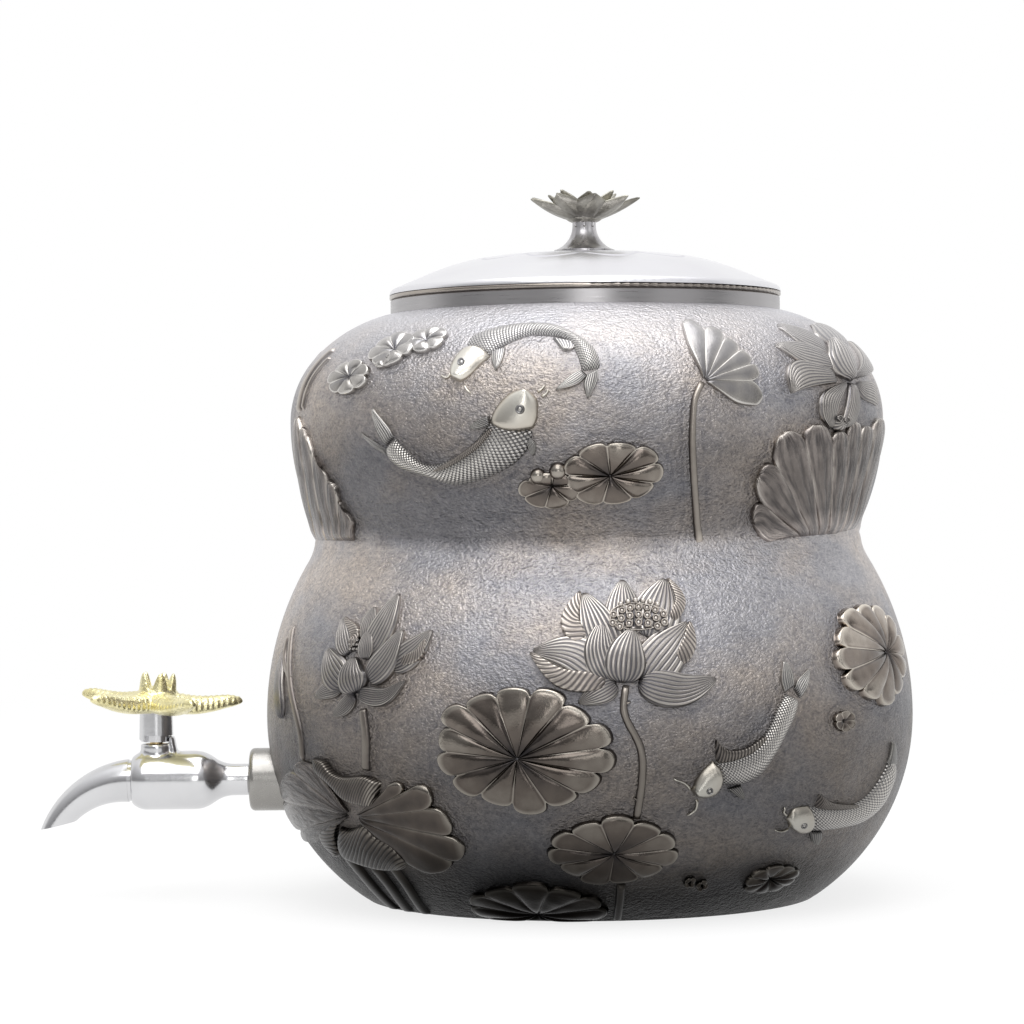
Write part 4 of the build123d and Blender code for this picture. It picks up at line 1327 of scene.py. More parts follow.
@dataclass
class Stem:
    """A thin half-round stalk, whisker or rib along a line."""

    line: list[Pixel]
    width: float = 5.0
    end_width: float = 5.0
    proud: float = 1.5
    knots: int = 0
    rows: int = 26
    finish: Finish = Finish.STEM

    def build(self, patch: Patch) -> Piece:
        """Models the stalk on the wall.

        Args:
            patch: The drawing plane it lies on.

        Returns:
            Its object.
        """
        piece, u, v = grid(8, self.rows)
        place, across = bend_through([patch.at(p) for p in self.line], v)
        half = (self.width + (self.end_width - self.width) * v) * patch.breadth(self.line, 1.0) / 2
        if self.knots:
            half = half * (1 + 0.12 * np.sin(v * self.knots * 2 * pi) ** 6)
        turn = (u - 0.5) * pi
        spot = place + across * (np.sin(turn) * half)[:, None]
        proud = self.proud * np.cos(turn) ** 0.7 + SUNK * (1 - np.cos(turn))
        proud = np.where(at_ends(v), SUNK, proud)
        return patch.press(piece, spot, proud, 0.15 + 0.75 * np.cos(turn) ** 2)


@dataclass
class Bead:
    """A small dome, such as a seed, a bud or an eye."""

    centre: Pixel
    radius: float = 2.5
    proud: float = 1.6
    base: float = 0.0
    ring: bool = False
    finish: Finish = Finish.PETAL

    def build(self, patch: Patch) -> Piece:
        """Models the bead on the wall.

        Args:
            patch: The drawing plane it lies on.

        Returns:
            Its object.
        """
        piece, u, v = grid(12, 6 if self.ring else 5)
        share, rise = np.sin(v * pi / 2), np.cos(v * pi / 2)
        polish = 0.1 + 0.9 * rise
        if self.ring:
            shares = np.linspace(0, 1, len(BEAD_SHARES[0]))
            share, rise = (np.interp(v, shares, steps) for steps in BEAD_SHARES)
            bright = 0.3 if self.finish is Finish.EYE else 1.0
            steps = [0.8, 0.7, 0.0, bright, 0.9 * bright, 0.3 * bright, 0.0]
            polish = np.interp(v, shares, steps)
        wide, tall = patch.radii(self.centre, self.radius, self.radius)
        angle = -2 * pi * u
        spot = np.stack([wide * share * np.cos(angle), tall * share * np.sin(angle)], -1)
        proud = np.where(v > 1 - HAIR, self.base + SUNK, self.base + rise * self.proud)
        return patch.press(piece, patch.at(self.centre) + spot, proud, polish)


@dataclass
class Panel:
    """A raised sheet between two edges, such as a fan's finger, a leaf's fold or a fish's body.

    Both edges are pixels of the photograph and run from the base to the tip.
    """

    left: list[Pixel]
    right: list[Pixel]
    proud: float = 2.4
    dome: float = 0.3
    rows: int = 16
    finish: Finish = Finish.PETAL
    bow: float = 0.0
    rimmed: bool = False

    def build(self, patch: Patch) -> Piece:
        """Models the sheet on the wall.

        Args:
            patch: The drawing plane it lies on.

        Returns:
            Its object.
        """
        piece, u, v = grid(SHEET_COLUMNS, self.rows)
        left, right = [patch.at(p) for p in self.left], [patch.at(p) for p in self.right]
        width = right[0] + right[1] - left[0] - left[1]
        way = left[-1] + right[-1] - left[0] - right[0]
        if width[0] * way[1] - width[1] * way[0] < 0:
            left, right = right, left
        first, second = bend_through(left, v)[0], bend_through(right, v)[0]
        spread = np.interp(u, SHEET_SHARES, EDGE_WAYS)
        spot = first + (second - first) * ((spread + 1) / 2)[:, None]
        back = left[0] + right[0] - left[-1] - right[-1]
        bow = self.bow * (1 - spread**2) * (1 - v) ** 2
        spot += bow[:, None] * back / max(np.hypot(*back), TINY)
        flat = np.interp(spread, EDGE_WAYS, EDGE_HEIGHTS)
        rounded = np.cos(spread * pi / 2 * 0.98) ** 0.6
        taper = np.clip(v / 0.12, 0, 1) ** 0.5 * np.clip((1 - v) / 0.1, 0, 1) ** 0.4
        proud = self.proud * (flat * (1 - self.dome) + rounded * self.dome) * (0.35 + 0.65 * taper)
        border = at_ends(v) | (np.abs(spread) > 0.999)
        proud = np.where(border, SUNK, np.maximum(proud, SUNK))
        if self.rimmed:
            polish = np.interp(spread, EDGE_WAYS, RIM_POLISH) * np.interp(v, [0, 0.2, 0.6], [0.4, 0.8, 1.0])
            polish = np.maximum(polish, np.interp(v, [0.8, 0.92, 1.0], [0.0, 0.95, 0.6]))
        else:
            edged = np.interp(spread, EDGE_WAYS, EDGE_POLISH)
            polish = edged * (1 - self.dome) + (0.2 + 0.8 * rounded) * self.dome
            polish = polish * np.interp(v, [0, 0.15, 0.6, 0.93, 1], [0.35, 0.7, 1.0, 1.3, 0.5])
        wide = float(np.hypot(*(second - first).T).mean())
        sheet = ((spread + 1) / 2, v * (length_of(left) + length_of(right)) / (2 * wide))
        return patch.press(piece, spot, proud, polish, sheet)


Shape = Petal | Leaf | Stem | Bead | Panel
RELIEF_NODES = (
    ("koi", "koi_relief", "koi_metal"),
    ("lotus", "lotus_relief", "vessel_metal"),
    ("stem", "lotus_relief", "vessel_metal"),
    ("leaf", "leaf_relief", "leaf_metal"),
)


@dataclass
class Motif:
    """One group of relief shapes, such as a flower or a fish."""

    name: str
    centre: Pixel
    shapes: list[Shape]

    @property
    def stands_for(self) -> tuple[str, str]:
        """The CAD node that the motif replaces, if any, and its material slot."""
        for word, node, slot in RELIEF_NODES:
            if word in self.name:
                return node, slot
        return "", "vessel_metal"

    def build(self, materials: dict[Finish, Material], turns: tuple[float, ...]) -> list[Piece]:
        """Models the motif and its copies round the jar.

        Args:
            materials: The finished material of each finish.
            turns: Angles in degrees at which the motif stands round the jar.

        Returns:
            Its pieces.
        """
        built = []
        node, slot = self.stands_for
        patch = Patch(self.centre)
        groups: dict[Finish, list[Piece]] = {}
        for shape in self.shapes:
            groups.setdefault(shape.finish, []).append(shape.build(patch))
        for finish, pieces in groups.items():
            whole = join(f"{self.name}_{finish.name.lower()}", pieces)
            apply_modifier(whole, "SUBSURF", levels=1, render_levels=1)
            smooth(whole, 60.0)
            for number, turn in enumerate(turns):
                piece = copy_of(whole, f"{whole.name}_{number + 1}") if number else whole
                spin(piece, turn)
                built.append(dress(piece, materials[finish], slot, "vessel", node))
        return built


@dataclass(frozen=True)
class WallSkin:
    """The hammered skin of one bulb, sunk a little and with painted shade round the relief."""

    name: str
    low: float
    high: float
    columns: int = 520
    rows: int = 180
    proud: float = 0.06
    dip: float = 0.2
    dip_reach: float = 4.0
    # How dark the painted shade round the relief is, and how far it reaches in millimetres.
    painted_shade: float = 0.75
    painted_shade_reach: float = 3.2

    def build(self, relief: KDTree, material: Material) -> Piece:
        """Models the skin over the CAD wall.

        Args:
            relief: The points of the relief.
            material: The wall's finish.

        Returns:
            The skin.
        """
        piece, u, v = grid(self.columns, self.rows)
        height = self.low + (self.high - self.low) * v
        azimuth = 2 * pi * u
        points = WALL.place(azimuth, height, np.full_like(u, self.proud))
        far = np.array([relief.find(point)[2] for point in points.tolist()]) / MM
        # Painted shade on the wall round the relief, stored as the skin's polish.
        painted_shade = self.painted_shade * np.exp(-((far / self.painted_shade_reach) ** 2))
        proud = self.proud - self.dip * np.exp(-((far / self.dip_reach) ** 2))
        set_points(piece, WALL.place(azimuth, height, np.where(at_ends(v), SUNK, proud)), painted_shade)
        weld(piece, SEAM_GAP)
        smooth(piece, 60.0)
        piece.name = self.name
        return dress(piece, material, "vessel_metal", "vessel")


def relief_points(pieces: list[Piece]) -> KDTree:
    """Gathers the points of the relief for finding how far off it is.

    Args:
        pieces: The relief's objects.

    Returns:
        A tree of the points.
    """
    points = np.concatenate([points_of(piece) for piece in pieces])
    tree = KDTree(len(points))
    for index, point in enumerate(points.tolist()):
        tree.insert(point, index)
    tree.balance()
    return tree


# Parts that the drawings share


def fan(
    base: list[Pixel], rim: list[Pixel], proud: float, finish: Finish, dome: float = 0.3
) -> list[Panel]:
    """Draws lobes that spread side by side from a hub, as in a half-open leaf.

    Args:
        base: Where the lines between the lobes start: one place for all, or one for each line.
        rim: The rim's notches and tips by turns, from a notch to a notch.
        proud: How far the lobes stand out, in millimetres.
        finish: Their finish.
        dome: How round they are across, from 0 to 1.

    Returns:
        One panel a lobe.
    """
    lobes = []
    for k in range(len(rim) // 2):
        tip = np.array(rim[2 * k + 1], float)
        sides = []
        for line in (k, k + 1):
            foot, notch = np.array(base[min(line, len(base) - 1)], float), np.array(rim[2 * line], float)
            out = (tip - foot) / np.hypot(*(tip - foot))
            shoulder = (notch + tip) / 2 + 0.28 * np.hypot(*(tip - notch)) * out
            middle = (foot + notch) / 2
            wider = middle - foot - out * float((middle - foot) @ out)
            side = (foot, middle + 0.16 * wider, notch + 0.12 * wider, shoulder, tip)
            sides.append([tuple(point) for point in side])
        lobes.append(Panel(*sides, proud * (1 + 0.1 * sin(k * 2.1)), dome, 14, finish, rimmed=True))
    return lobes


def turned(line: list[Pixel], width: float, proud: float, low: float) -> Petal:
    """Draws the turned edge of a petal."""
    return Petal(line, width, proud, low, finish=Finish.TURNED)


def fold(left: list[Pixel], right: list[Pixel], proud: float, rows: int, rimmed: bool) -> Panel:
    """Draws a leaf's edge that is folded over."""
    return Panel(left, right, proud, rows=rows, finish=Finish.FOLD, rimmed=rimmed)


def fin(left: list[Pixel], right: list[Pixel], proud: float = 1.8) -> Panel:
    """Draws a fish's fin or one half of its tail."""
    return Panel(left, right, proud, finish=Finish.FIN)


def scales(left: list[Pixel], right: list[Pixel], proud: float, rows: int) -> Panel:
    """Draws a fish's scaled body."""
    return Panel(left, right, proud, 1.0, rows, Finish.SCALES)


def face(
    left: list[Pixel], right: list[Pixel], proud: float, rows: int, bow: float, eye: Bead
) -> list[Shape]:
    """Draws a fish's head and its ringed eye.

    Args:
        left: One edge of the head, from the body to the mouth.
        right: The other edge.
        proud: How far the head stands out.
        rows: Rows of faces along it.
        bow: How far the head's edge bows over the scales, in millimetres.
        eye: The eye's place and size.

    Returns:
        The head and the eye.
    """
    eye.ring, eye.finish = True, Finish.EYE
    return [Panel(left, right, proud, 1.0, rows, Finish.HEAD, bow), eye]


def whiskers(lines: list[list[Pixel]], width: float, tip: float, proud: float, rows: int) -> list[Stem]:
    """Draws a fish's whiskers."""
    return [Stem(line, width, tip, proud, rows=rows, finish=Finish.HEAD) for line in lines]


# Drawings on the lower bulb


def big_lotus() -> list[Shape]:
    """Draws the open lotus in the middle, with its seed head.

    Returns:
        Its shapes.
    """
    shapes = [
        Petal([(626, 640), (623, 608), (622, 578)], 40, 1.6, 0.8),
        Petal([(648, 640), (658, 608), (665, 577)], 40, 1.6, 0.8),
        Petal([(612, 660), (597, 625), (582, 591)], 34, 2.0, 0.8),
        Petal([(642, 682), (667, 650), (689, 621)], 34, 2.0, 1.0),
        Petal([(612, 684), (575, 655), (530, 651)], 34, 2.2, 0.8),
        Petal([(636, 681), (680, 690), (718, 678)], 38, 2.6, 0.8),
        Petal([(617, 682), (600, 692), (577, 704)], 20, 1.8, 0.8),
        turned([(586, 644), (570, 622), (581, 590)], 19, 2.9, 1.4),
        turned([(668, 624), (679, 602), (666, 577)], 11, 2.6, 1.2),
        turned([(677, 665), (687, 645), (689, 620)], 13, 2.9, 1.4),
        turned([(610, 682), (563, 679), (528, 651)], 17, 3.2, 1.4),
        Leaf(
            (637, 618), (637, 618), 30, 14, 9, proud=2.8, notch=0.03, puff=0.0, spokes=5,
            finish=Finish.SEED,
        ),
        Petal([(609, 681), (599, 650), (602, 619)], 33, 3.4, 1.0),
        Petal([(623, 685), (625, 656), (632, 627)], 37, 4.4, 1.2),
    ]
    seed_rows = (
        (602, 620, 656, 6, 3.0), (609, 613, 662, 7, 3.9), (616.5, 612, 663, 7, 4.2), (624, 619, 656, 5, 4.2)
    )
    for row, first, last, count, size in seed_rows:
        for k in range(count):
            across = first + (last - first) * k / (count - 1)
            sag = 0.012 * (across - 638) ** 2
            shapes.append(Bead((across, row + sag), size, 1.6, 2.0, size > 3, Finish.SEED))
    return shapes


def side_lotus() -> list[Shape]:
    """Draws the lotus near the left edge."""
    shapes = [
        Petal([(368, 655), (385, 625), (401, 592)], 21, 2.2, 0.8),
        Petal([(367, 642), (376, 606)], 17, 1.9, 0.8),
        Petal([(350, 655), (345, 616)], 16, 2.0, 0.8),
        Petal([(390, 668), (415, 650), (434, 629)], 20, 1.9, 0.8),
        turned([(400, 663), (420, 655), (428, 636)], 8, 2.6, 1.2),
        turned([(349, 650), (358, 635), (346, 617)], 7, 2.6, 1.2),
        Petal([(345, 687), (334, 668), (329, 647)], 21, 2.4, 0.9),
        Petal([(344, 687), (330, 690), (315, 698)], 14, 2.0, 0.8),
        Petal([(356, 695), (345, 708), (333, 716)], 11, 1.8, 0.8),
        Petal([(358, 693), (385, 697), (407, 680)], 16, 2.4, 0.8),
        Petal([(367, 661), (372, 628)], 16, 2.6, 1.0),
        Petal([(368, 681), (388, 660), (405, 628)], 20, 3.0, 1.0),
        Petal([(358, 694), (355, 675), (357, 656)], 25, 3.8, 1.0),
    ]
    return shapes + [Bead((353 + 3.5 * (k % 3), 641 + 4.5 * (k // 3)), 1.8, 1.0, 1.6) for k in range(9)]


def folded_leaf() -> list[Shape]:
    """Draws the leaf seen from the side, with its edges folded over.

    Returns:
        Its shapes.
    """
    right_rim = [
        (379, 796), (393, 780), (405, 790), (422, 782), (431, 806), (450, 818), (449, 834), (467, 847),
        (453, 859), (434, 870), (407, 860),
    ]
    left_rim = [
        (318, 767), (302, 761), (297, 771), (287, 783), (287, 799), (290, 816), (303, 829), (315, 840),
        (327, 836),
    ]
    upper_fold = (
        [(317, 768), (335, 784), (348, 798), (364, 804), (378, 805)],
        [(314, 757), (326, 760), (335, 771), (347, 776), (367, 775), (382, 783)],
    )
    lower_fold = (
        [(339, 840), (348, 854), (367, 863), (388, 867), (410, 865)],
        [(341, 826), (353, 828), (367, 823), (378, 834), (394, 842), (411, 861)],
    )
    small_fold = ([(321, 829), (327, 843), (342, 856)], [(343, 818), (338, 836), (344, 854)])
    return [
        *fan([(357, 815)], right_rim, 2.9, Finish.LEAF),
        *fan([(351, 814)], left_rim, 2.4, Finish.STREAK),
        fold(*upper_fold, 4.4, 24, True),
        fold(*lower_fold, 4.4, 24, True),
        fold(*small_fold, 3.4, 14, False),
    ]


def diving_koi() -> list[Shape]:
    """Draws the fish that swims down to the left.

    Returns:
        Its shapes.
    """
    belly = (
        [(714, 737), (725, 749), (744, 748), (764, 735)],
        [(715, 764), (734, 760), (755, 750), (770, 734)],
    )
    body = (
        [(720, 784), (740, 784), (759, 775), (774, 755), (784, 736), (793, 718), (798, 699)],
        [(714, 761), (735, 756), (754, 746), (768, 728), (776, 709), (785, 693)],
    )
    head = (
        [(721, 786), (715, 795), (704, 798), (694, 795)],
        [(713, 760), (701, 771), (694, 782), (691, 790)],
    )
    return [
        fin([(784, 694), (780, 679), (782, 660)], [(793, 687), (791, 672), (783, 660)]),
        fin([(793, 689), (797, 679), (808, 668)], [(799, 699), (806, 687), (808, 669)]),
        fin([(726, 788), (735, 795), (743, 799)], [(740, 784), (743, 792), (743, 799)]),
        Panel(*belly, 2.6, rows=24, finish=Finish.TURNED),
        scales(*body, 4.2, 36),
        *face(*head, 4.6, 16, 2.2, Bead((706, 788), 3.6, 1.1, 4.0)),
        *whiskers(
            [[(691, 790), (684, 783), (673, 779)], [(697, 799), (695, 809), (686, 816)]], 2.5, 1.2, 1.2, 10
        ),
    ]


def climbing_koi() -> list[Shape]:
    """Draws the fish near the right edge, with its tail up.

    Returns:
        Its shapes.
    """
    belly = ([(818, 793), (832, 802), (858, 804)], [(813, 808), (833, 809), (861, 807)])
    body = (
        [(809, 831), (837, 828), (862, 821), (881, 804), (891, 780), (894, 760)],
        [(808, 806), (832, 807), (857, 802), (874, 787), (886, 766), (887, 760)],
    )
    head = ([(810, 832), (799, 833), (788, 827)], [(809, 805), (794, 808), (786, 819)])
    return [
        fin([(886, 766), (889, 755), (891, 741)], [(894, 766), (895, 755), (892, 741)], 1.6),
        Panel(*belly, 2.0, finish=Finish.TURNED),
        fin([(809, 831), (810, 839), (814, 844)], [(821, 830), (820, 838), (815, 844)], 1.6),
        scales(*body, 3.4, 36),
        *face(*head, 3.8, 14, 1.8, Bead((799, 822), 3.0, 1.1, 3.1)),
        *whiskers([[(787, 816), (783, 812), (785, 807)], [(789, 828), (782, 831), (774, 830)]], 2, 1, 1.0, 8),
    ]


def lotus_stem() -> list[Shape]:
    """Draws the big lotus's stem with its thorns."""
    thorns = ([(625, 704), (631, 702)], [(641, 760), (646, 757)], [(638, 800), (633, 797)])
    return [
        Stem([(626, 684), (624, 713), (640, 747), (642, 777), (636, 820)], 7, 8, 1.8, 9),
        *(Stem(thorn, 3, 1, 1.5, rows=6) for thorn in thorns),
    ]


def low_leaf() -> list[Shape]:
    """Draws the round leaf under the big lotus, with its stalk."""
    leaf = Leaf((614, 854), (613, 851), 65, 33, 11, turn=5, proud=2.3, notch=0.17)
    return [leaf, Stem([(621, 884), (619, 905), (617, 919)], 9, 9, 1.8)]


def leaf_stalks() -> list[Shape]:
    """Draws the three stalks under the folded leaf."""
    return [
        Stem([(346, 852), (368, 880), (396, 908)], 9, 9, 1.8),
        *(Stem(line, 8, 8, 1.8) for line in (
            [(375, 866), (392, 888), (411, 912)], [(392, 864), (409, 888), (428, 914)]
        )),
    ]


def edge_reeds() -> list[Shape]:
    """Draws the reeds at the left edge."""
    return [
        Stem([(294, 624), (290, 678), (300, 730), (303, 762)], 3, 4, 1.4),
        Stem([(289, 636), (285, 660), (291, 680)], 3, 3, 1.4),
        Petal([(283, 720), (281, 690), (286, 645)], 8, 2.4, 0.8),
    ]


def clovers() -> list[Shape]:
    """Draws the two clovers and the small leaf near the foot."""
    return [
        Leaf((689, 881), (689, 881), 6, 5, 4, proud=1.3, notch=0.3, spokes=6),
        Leaf((701, 884), (701, 884), 6, 5, 4, 30, proud=1.3, notch=0.3, spokes=6),
        Leaf((769, 878), (771, 878), 24, 13, 9, proud=1.6, notch=0.14, spokes=6),
    ]


def lower_motifs() -> list[Motif]:
    """Draws the relief on the lower bulb.

    Returns:
        The motifs in order.
    """
    round_leaf = Leaf((517, 759), (521, 750), 90, 63, 14, turn=8, tilt=-4, proud=2.6, notch=0.16, puff=2.1)
    foot_leaf = Leaf((538, 914), (536, 908), 68, 25, 11, turn=8, proud=2.0, notch=0.17)
    right_leaf = Leaf((886, 652), (874, 653), 33, 52, 12, turn=20, proud=2.8, notch=0.22, puff=2.2)
    flower = Leaf((843, 721), (843, 721), 10, 11, 6, proud=1.8, notch=0.2, puff=0.6, spokes=6)
    return [
        Motif("big_lotus", (623, 645), big_lotus()),
        Motif("big_lotus_stem", (632, 750), lotus_stem()),
        Motif("round_leaf", (516, 757), [round_leaf]),
        Motif("low_leaf", (614, 853), low_leaf()),
        Motif("foot_leaf", (536, 900), [foot_leaf]),
        Motif("side_lotus", (365, 655), side_lotus()),
        Motif("side_lotus_stem", (365, 738), [Stem([(363, 708), (366, 738), (366, 771)], 7, 8, 1.8, 4)]),
        Motif("folded_leaf", (375, 815), folded_leaf()),
        Motif("leaf_stalks", (390, 885), leaf_stalks()),
        Motif("edge_reeds", (296, 690), edge_reeds()),
        Motif("diving_koi", (750, 745), diving_koi()),
        Motif("climbing_koi", (840, 805), climbing_koi()),
        Motif("right_leaf", (878, 653), [right_leaf]),
        Motif("small_flower", (843, 721), [flower]),
        Motif("clovers", (735, 880), clovers()),
    ]


# Drawings on the upper bulb


def right_lotus() -> list[Shape]:
    """Draws the lotus that hangs on the right, with its buds.

    Returns:
        Its shapes.
    """
    left_fall = (
        [(845, 382), (837, 404), (832, 423), (830, 430)],
        [(842, 382), (820, 394), (819, 416), (829, 430)],
    )
    right_fall = (
        [(852, 382), (857, 404), (851, 423), (840, 429)],
        [(847, 382), (845, 404), (840, 423), (838, 429)],
    )
    middle = (
        [(851, 382), (852, 366), (844, 350), (827, 340)],
        [(850, 382), (834, 375), (825, 359), (825, 341)],
    )
    return [
        Panel([(830, 358), (801, 345), (776, 327)], [(826, 346), (805, 331), (776, 324)], 1.6),
        Panel([(830, 347), (815, 336), (809, 325)], [(849, 350), (836, 332), (812, 324)], 1.8),
        Panel([(837, 371), (805, 366), (774, 346)], [(830, 358), (801, 344), (774, 344)], 2.2),
        Panel([(837, 383), (809, 388), (790, 394)], [(832, 371), (794, 361), (785, 374), (790, 393)], 2.8),
        Panel([(854, 379), (870, 371), (866, 354), (853, 340)], [(851, 377), (859, 360), (852, 341)], 2.6),
        Panel([(853, 387), (862, 399), (876, 406)], [(856, 382), (870, 383), (876, 405)], 2.0),
        Panel(*left_fall, 2.6),
        Panel(*right_fall, 2.6),
        Panel(*middle, 4.2, 0.5),
        Bead((837, 424), 8, 3.4, 0.0),
        Bead((834, 418), 3, 1.0, 2.8, True),
        Bead((841, 420), 3, 1.0, 2.8, True),
    ]


def fan_leaf() -> list[Shape]:
    """Draws the half-open leaf on the right, over the waist.

    Returns:
        Its shapes.
    """
    base = [
        (786, 538), (800, 537), (810, 536), (819, 535), (827, 534), (834, 534), (841, 532), (848, 531),
        (856, 529),
    ]
    rim = [
        (766, 541), (752, 522), (759, 502), (756, 477), (773, 464), (782, 432), (802, 439), (816, 423),
        (829, 439), (837, 430), (844, 437), (851, 420), (858, 431), (864, 425), (869, 433), (876, 417),
        (880, 429),
    ]
    return fan(base, rim, 2.8, Finish.STREAK)


def edge_fan_leaf() -> list[Shape]:
    """Draws the half-open leaf at the left edge.

    Returns:
        Its shapes.
    """
    base = [(354, 541), (344, 541), (335, 541), (326, 541), (317, 541), (310, 541)]
    rim = [
        (355, 522), (345, 510), (341, 500), (336, 484), (330, 480), (322, 468), (315, 456), (307, 432),
        (303, 428), (299, 414), (297, 432),
    ]
    return fan(base, rim, 2.5, Finish.STREAK)


def half_leaf() -> list[Shape]:
    """Draws the bright leaf beside the right lotus."""
    rim = [
        (687, 346), (681, 323), (703, 333), (714, 331), (722, 341), (731, 343), (736, 353), (745, 355),
        (748, 366), (757, 371), (751, 382), (759, 404), (736, 403),
    ]
    return fan([(704, 381)], rim, 2.3, Finish.SILVER, 0.15)


def bud_leaf() -> list[Shape]:
    """Draws the small leaf with two buds.

    Returns:
        Its shapes.
    """
    leaf = Leaf((552, 486), (549, 490), 30, 19, 6, turn=20, proud=2.0, notch=0.16)
    buds = ((538, 476), 8.5, 3.4), ((558, 471), 9.5, 3.8)
    return [leaf, *(Bead(*bud, 0.4, finish=Finish.LEAF) for bud in buds)]


def leaf_chain() -> list[Shape]:
    """Draws the chain of four small leaves near the left edge."""
    leaves = (
        ((350, 377), (349, 378), 19, 17, 7, 0.0, 2.2),
        ((386, 361), (386, 361), 10, 8, 5, 0.0, 2.0),
        ((395, 350), (393, 350), 20, 16, 7, 20, 2.2),
        ((427, 341), (428, 341), 18, 12, 6, 0.0, 2.2),
    )
    return [
        Leaf(*sizes, proud=proud, notch=0.2, spokes=6, finish=Finish.SILVER) for *sizes, proud in leaves
    ]


def arched_koi() -> list[Shape]:
    """Draws the fish that arches over the middle.

    Returns:
        Its shapes.
    """
    body = (
        [
            (490, 356), (499, 349), (513, 342), (530, 336), (548, 336), (562, 339), (572, 346), (578, 358),
            (582, 372),
        ],
        [
            (466, 349), (471, 338), (484, 332), (504, 327), (528, 325), (551, 326), (571, 333), (588, 343),
            (598, 355), (600, 369),
        ],
    )
    head = (
        [(491, 357), (481, 364), (473, 373), (466, 379), (460, 382)],
        [(467, 348), (459, 353), (452, 363), (450, 372), (452, 379)],
    )
    return [
        fin([(588, 375), (577, 385), (555, 391)], [(582, 370), (571, 375), (555, 390)]),
        fin([(598, 368), (597, 382), (588, 399)], [(588, 373), (583, 385), (587, 399)]),
        fin([(491, 352), (492, 363), (496, 371)], [(506, 347), (503, 360), (497, 371)]),
        fin([(552, 338), (561, 349), (566, 351)], [(574, 342), (574, 349), (567, 351)], 1.6),
        scales(*body, 3.2, 44),
        *face(*head, 3.8, 18, 2.2, Bead((464, 366), 4.0, 1.1, 3.2)),
        *whiskers(
            [[(452, 372), (447, 378), (440, 375)], [(464, 385), (468, 391), (471, 393)]], 2.2, 1.2, 1.0, 8
        ),
    ]


def rising_koi() -> list[Shape]:
    """Draws the big fish that curls up to the right.

    Returns:
        Its shapes.
    """
    body = (
        [
            (533, 430), (530, 445), (520, 459), (504, 470), (481, 480), (455, 485), (429, 477), (403, 469),
            (389, 457), (387, 447),
        ],
        [(491, 421), (481, 434), (470, 446), (455, 456), (438, 464), (422, 462), (408, 451), (395, 438)],
    )
    belly = (
        [(498, 427), (487, 443), (476, 453), (461, 463), (444, 471), (429, 473)],
        [(491, 426), (480, 438), (468, 448), (454, 458), (438, 467), (428, 471)],
    )
    head = (
        [(533, 429), (537, 419), (538, 408), (537, 399), (529, 391)],
        [(489, 424), (494, 411), (502, 400), (511, 393), (526, 390)],
    )
    return [
        fin([(387, 447), (377, 430), (373, 407)], [(395, 438), (389, 427), (373, 407)]),
        fin([(387, 449), (377, 443), (360, 432)], [(389, 456), (374, 447), (360, 432)], 1.2),
        fin([(490, 415), (479, 419), (469, 427)], [(491, 425), (481, 429), (469, 429)], 2.0),
        fin([(529, 436), (536, 444), (534, 456)], [(526, 441), (529, 450), (533, 456)]),
        scales(*body, 4.4, 44),
        Panel(*belly, 3.8, 0.6, 30, Finish.TURNED),
        *face(*head, 5.0, 18, 3.0, Bead((522, 410), 4.8, 1.2, 4.4)),
        *whiskers(
            [[(537, 392), (542, 389), (545, 385)], [(541, 397), (546, 394), (549, 389)]], 2.4, 1.2, 1.1, 8
        ),
    ]


def upper_motifs() -> list[Motif]:
    """Draws the relief on the upper bulb.

    Returns:
        The motifs in order.
    """
    leaf_stem = Stem([(703, 381), (694, 400), (692, 440), (694, 485), (700, 543)], 6, 8, 1.8, 6)
    upper_leaf = Leaf((610, 476), (612, 473), 50, 32, 9, turn=15, tilt=4, proud=2.4, notch=0.14, puff=2.2)
    reeds = [
        Stem([(299, 413), (305, 385), (320, 362), (335, 349)], 6, 3, 1.4),
        Stem([(303, 410), (312, 380), (331, 357)], 3, 2, 1.2),
    ]
    return [
        Motif("fan_leaf", (818, 480), fan_leaf()),
        Motif("right_lotus", (838, 375), right_lotus()),
        Motif("half_leaf", (720, 365), half_leaf()),
        Motif("half_leaf_stem", (695, 460), [leaf_stem]),
        Motif("upper_leaf", (611, 474), [upper_leaf]),
        Motif("bud_leaf", (548, 488), bud_leaf()),
        Motif("leaf_chain", (390, 360), leaf_chain()),
        Motif("arched_koi", (525, 350), arched_koi()),
        Motif("rising_koi", (455, 440), rising_koi()),
        Motif("edge_fan_leaf", (318, 480), edge_fan_leaf()),
        Motif("edge_reed", (310, 385), reeds),
    ]


# Knob, handle and tap


def lathe(piece: Piece, u: Array, radius: Array, height: Array) -> None:
    """Wraps a grid round the upright axis.

    Args:
        piece: The grid.
        u: Each point's share of the way round.
        radius: Each point's distance from the axis, in millimetres.
        height: Each point's height, in millimetres.
    """
    turn = 2 * pi * u
    set_points(piece, np.stack([radius * np.cos(turn), radius * np.sin(turn), height], -1) * MM)
    weld(piece, outward=True)


def foot_and_top(node: str) -> tuple[float, float]:
    """Gives the heights of a CAD node's lowest and highest points, in millimetres."""
    low, high = (np.array(corner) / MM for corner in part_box(node))
    return float(low[2]), float(high[2])


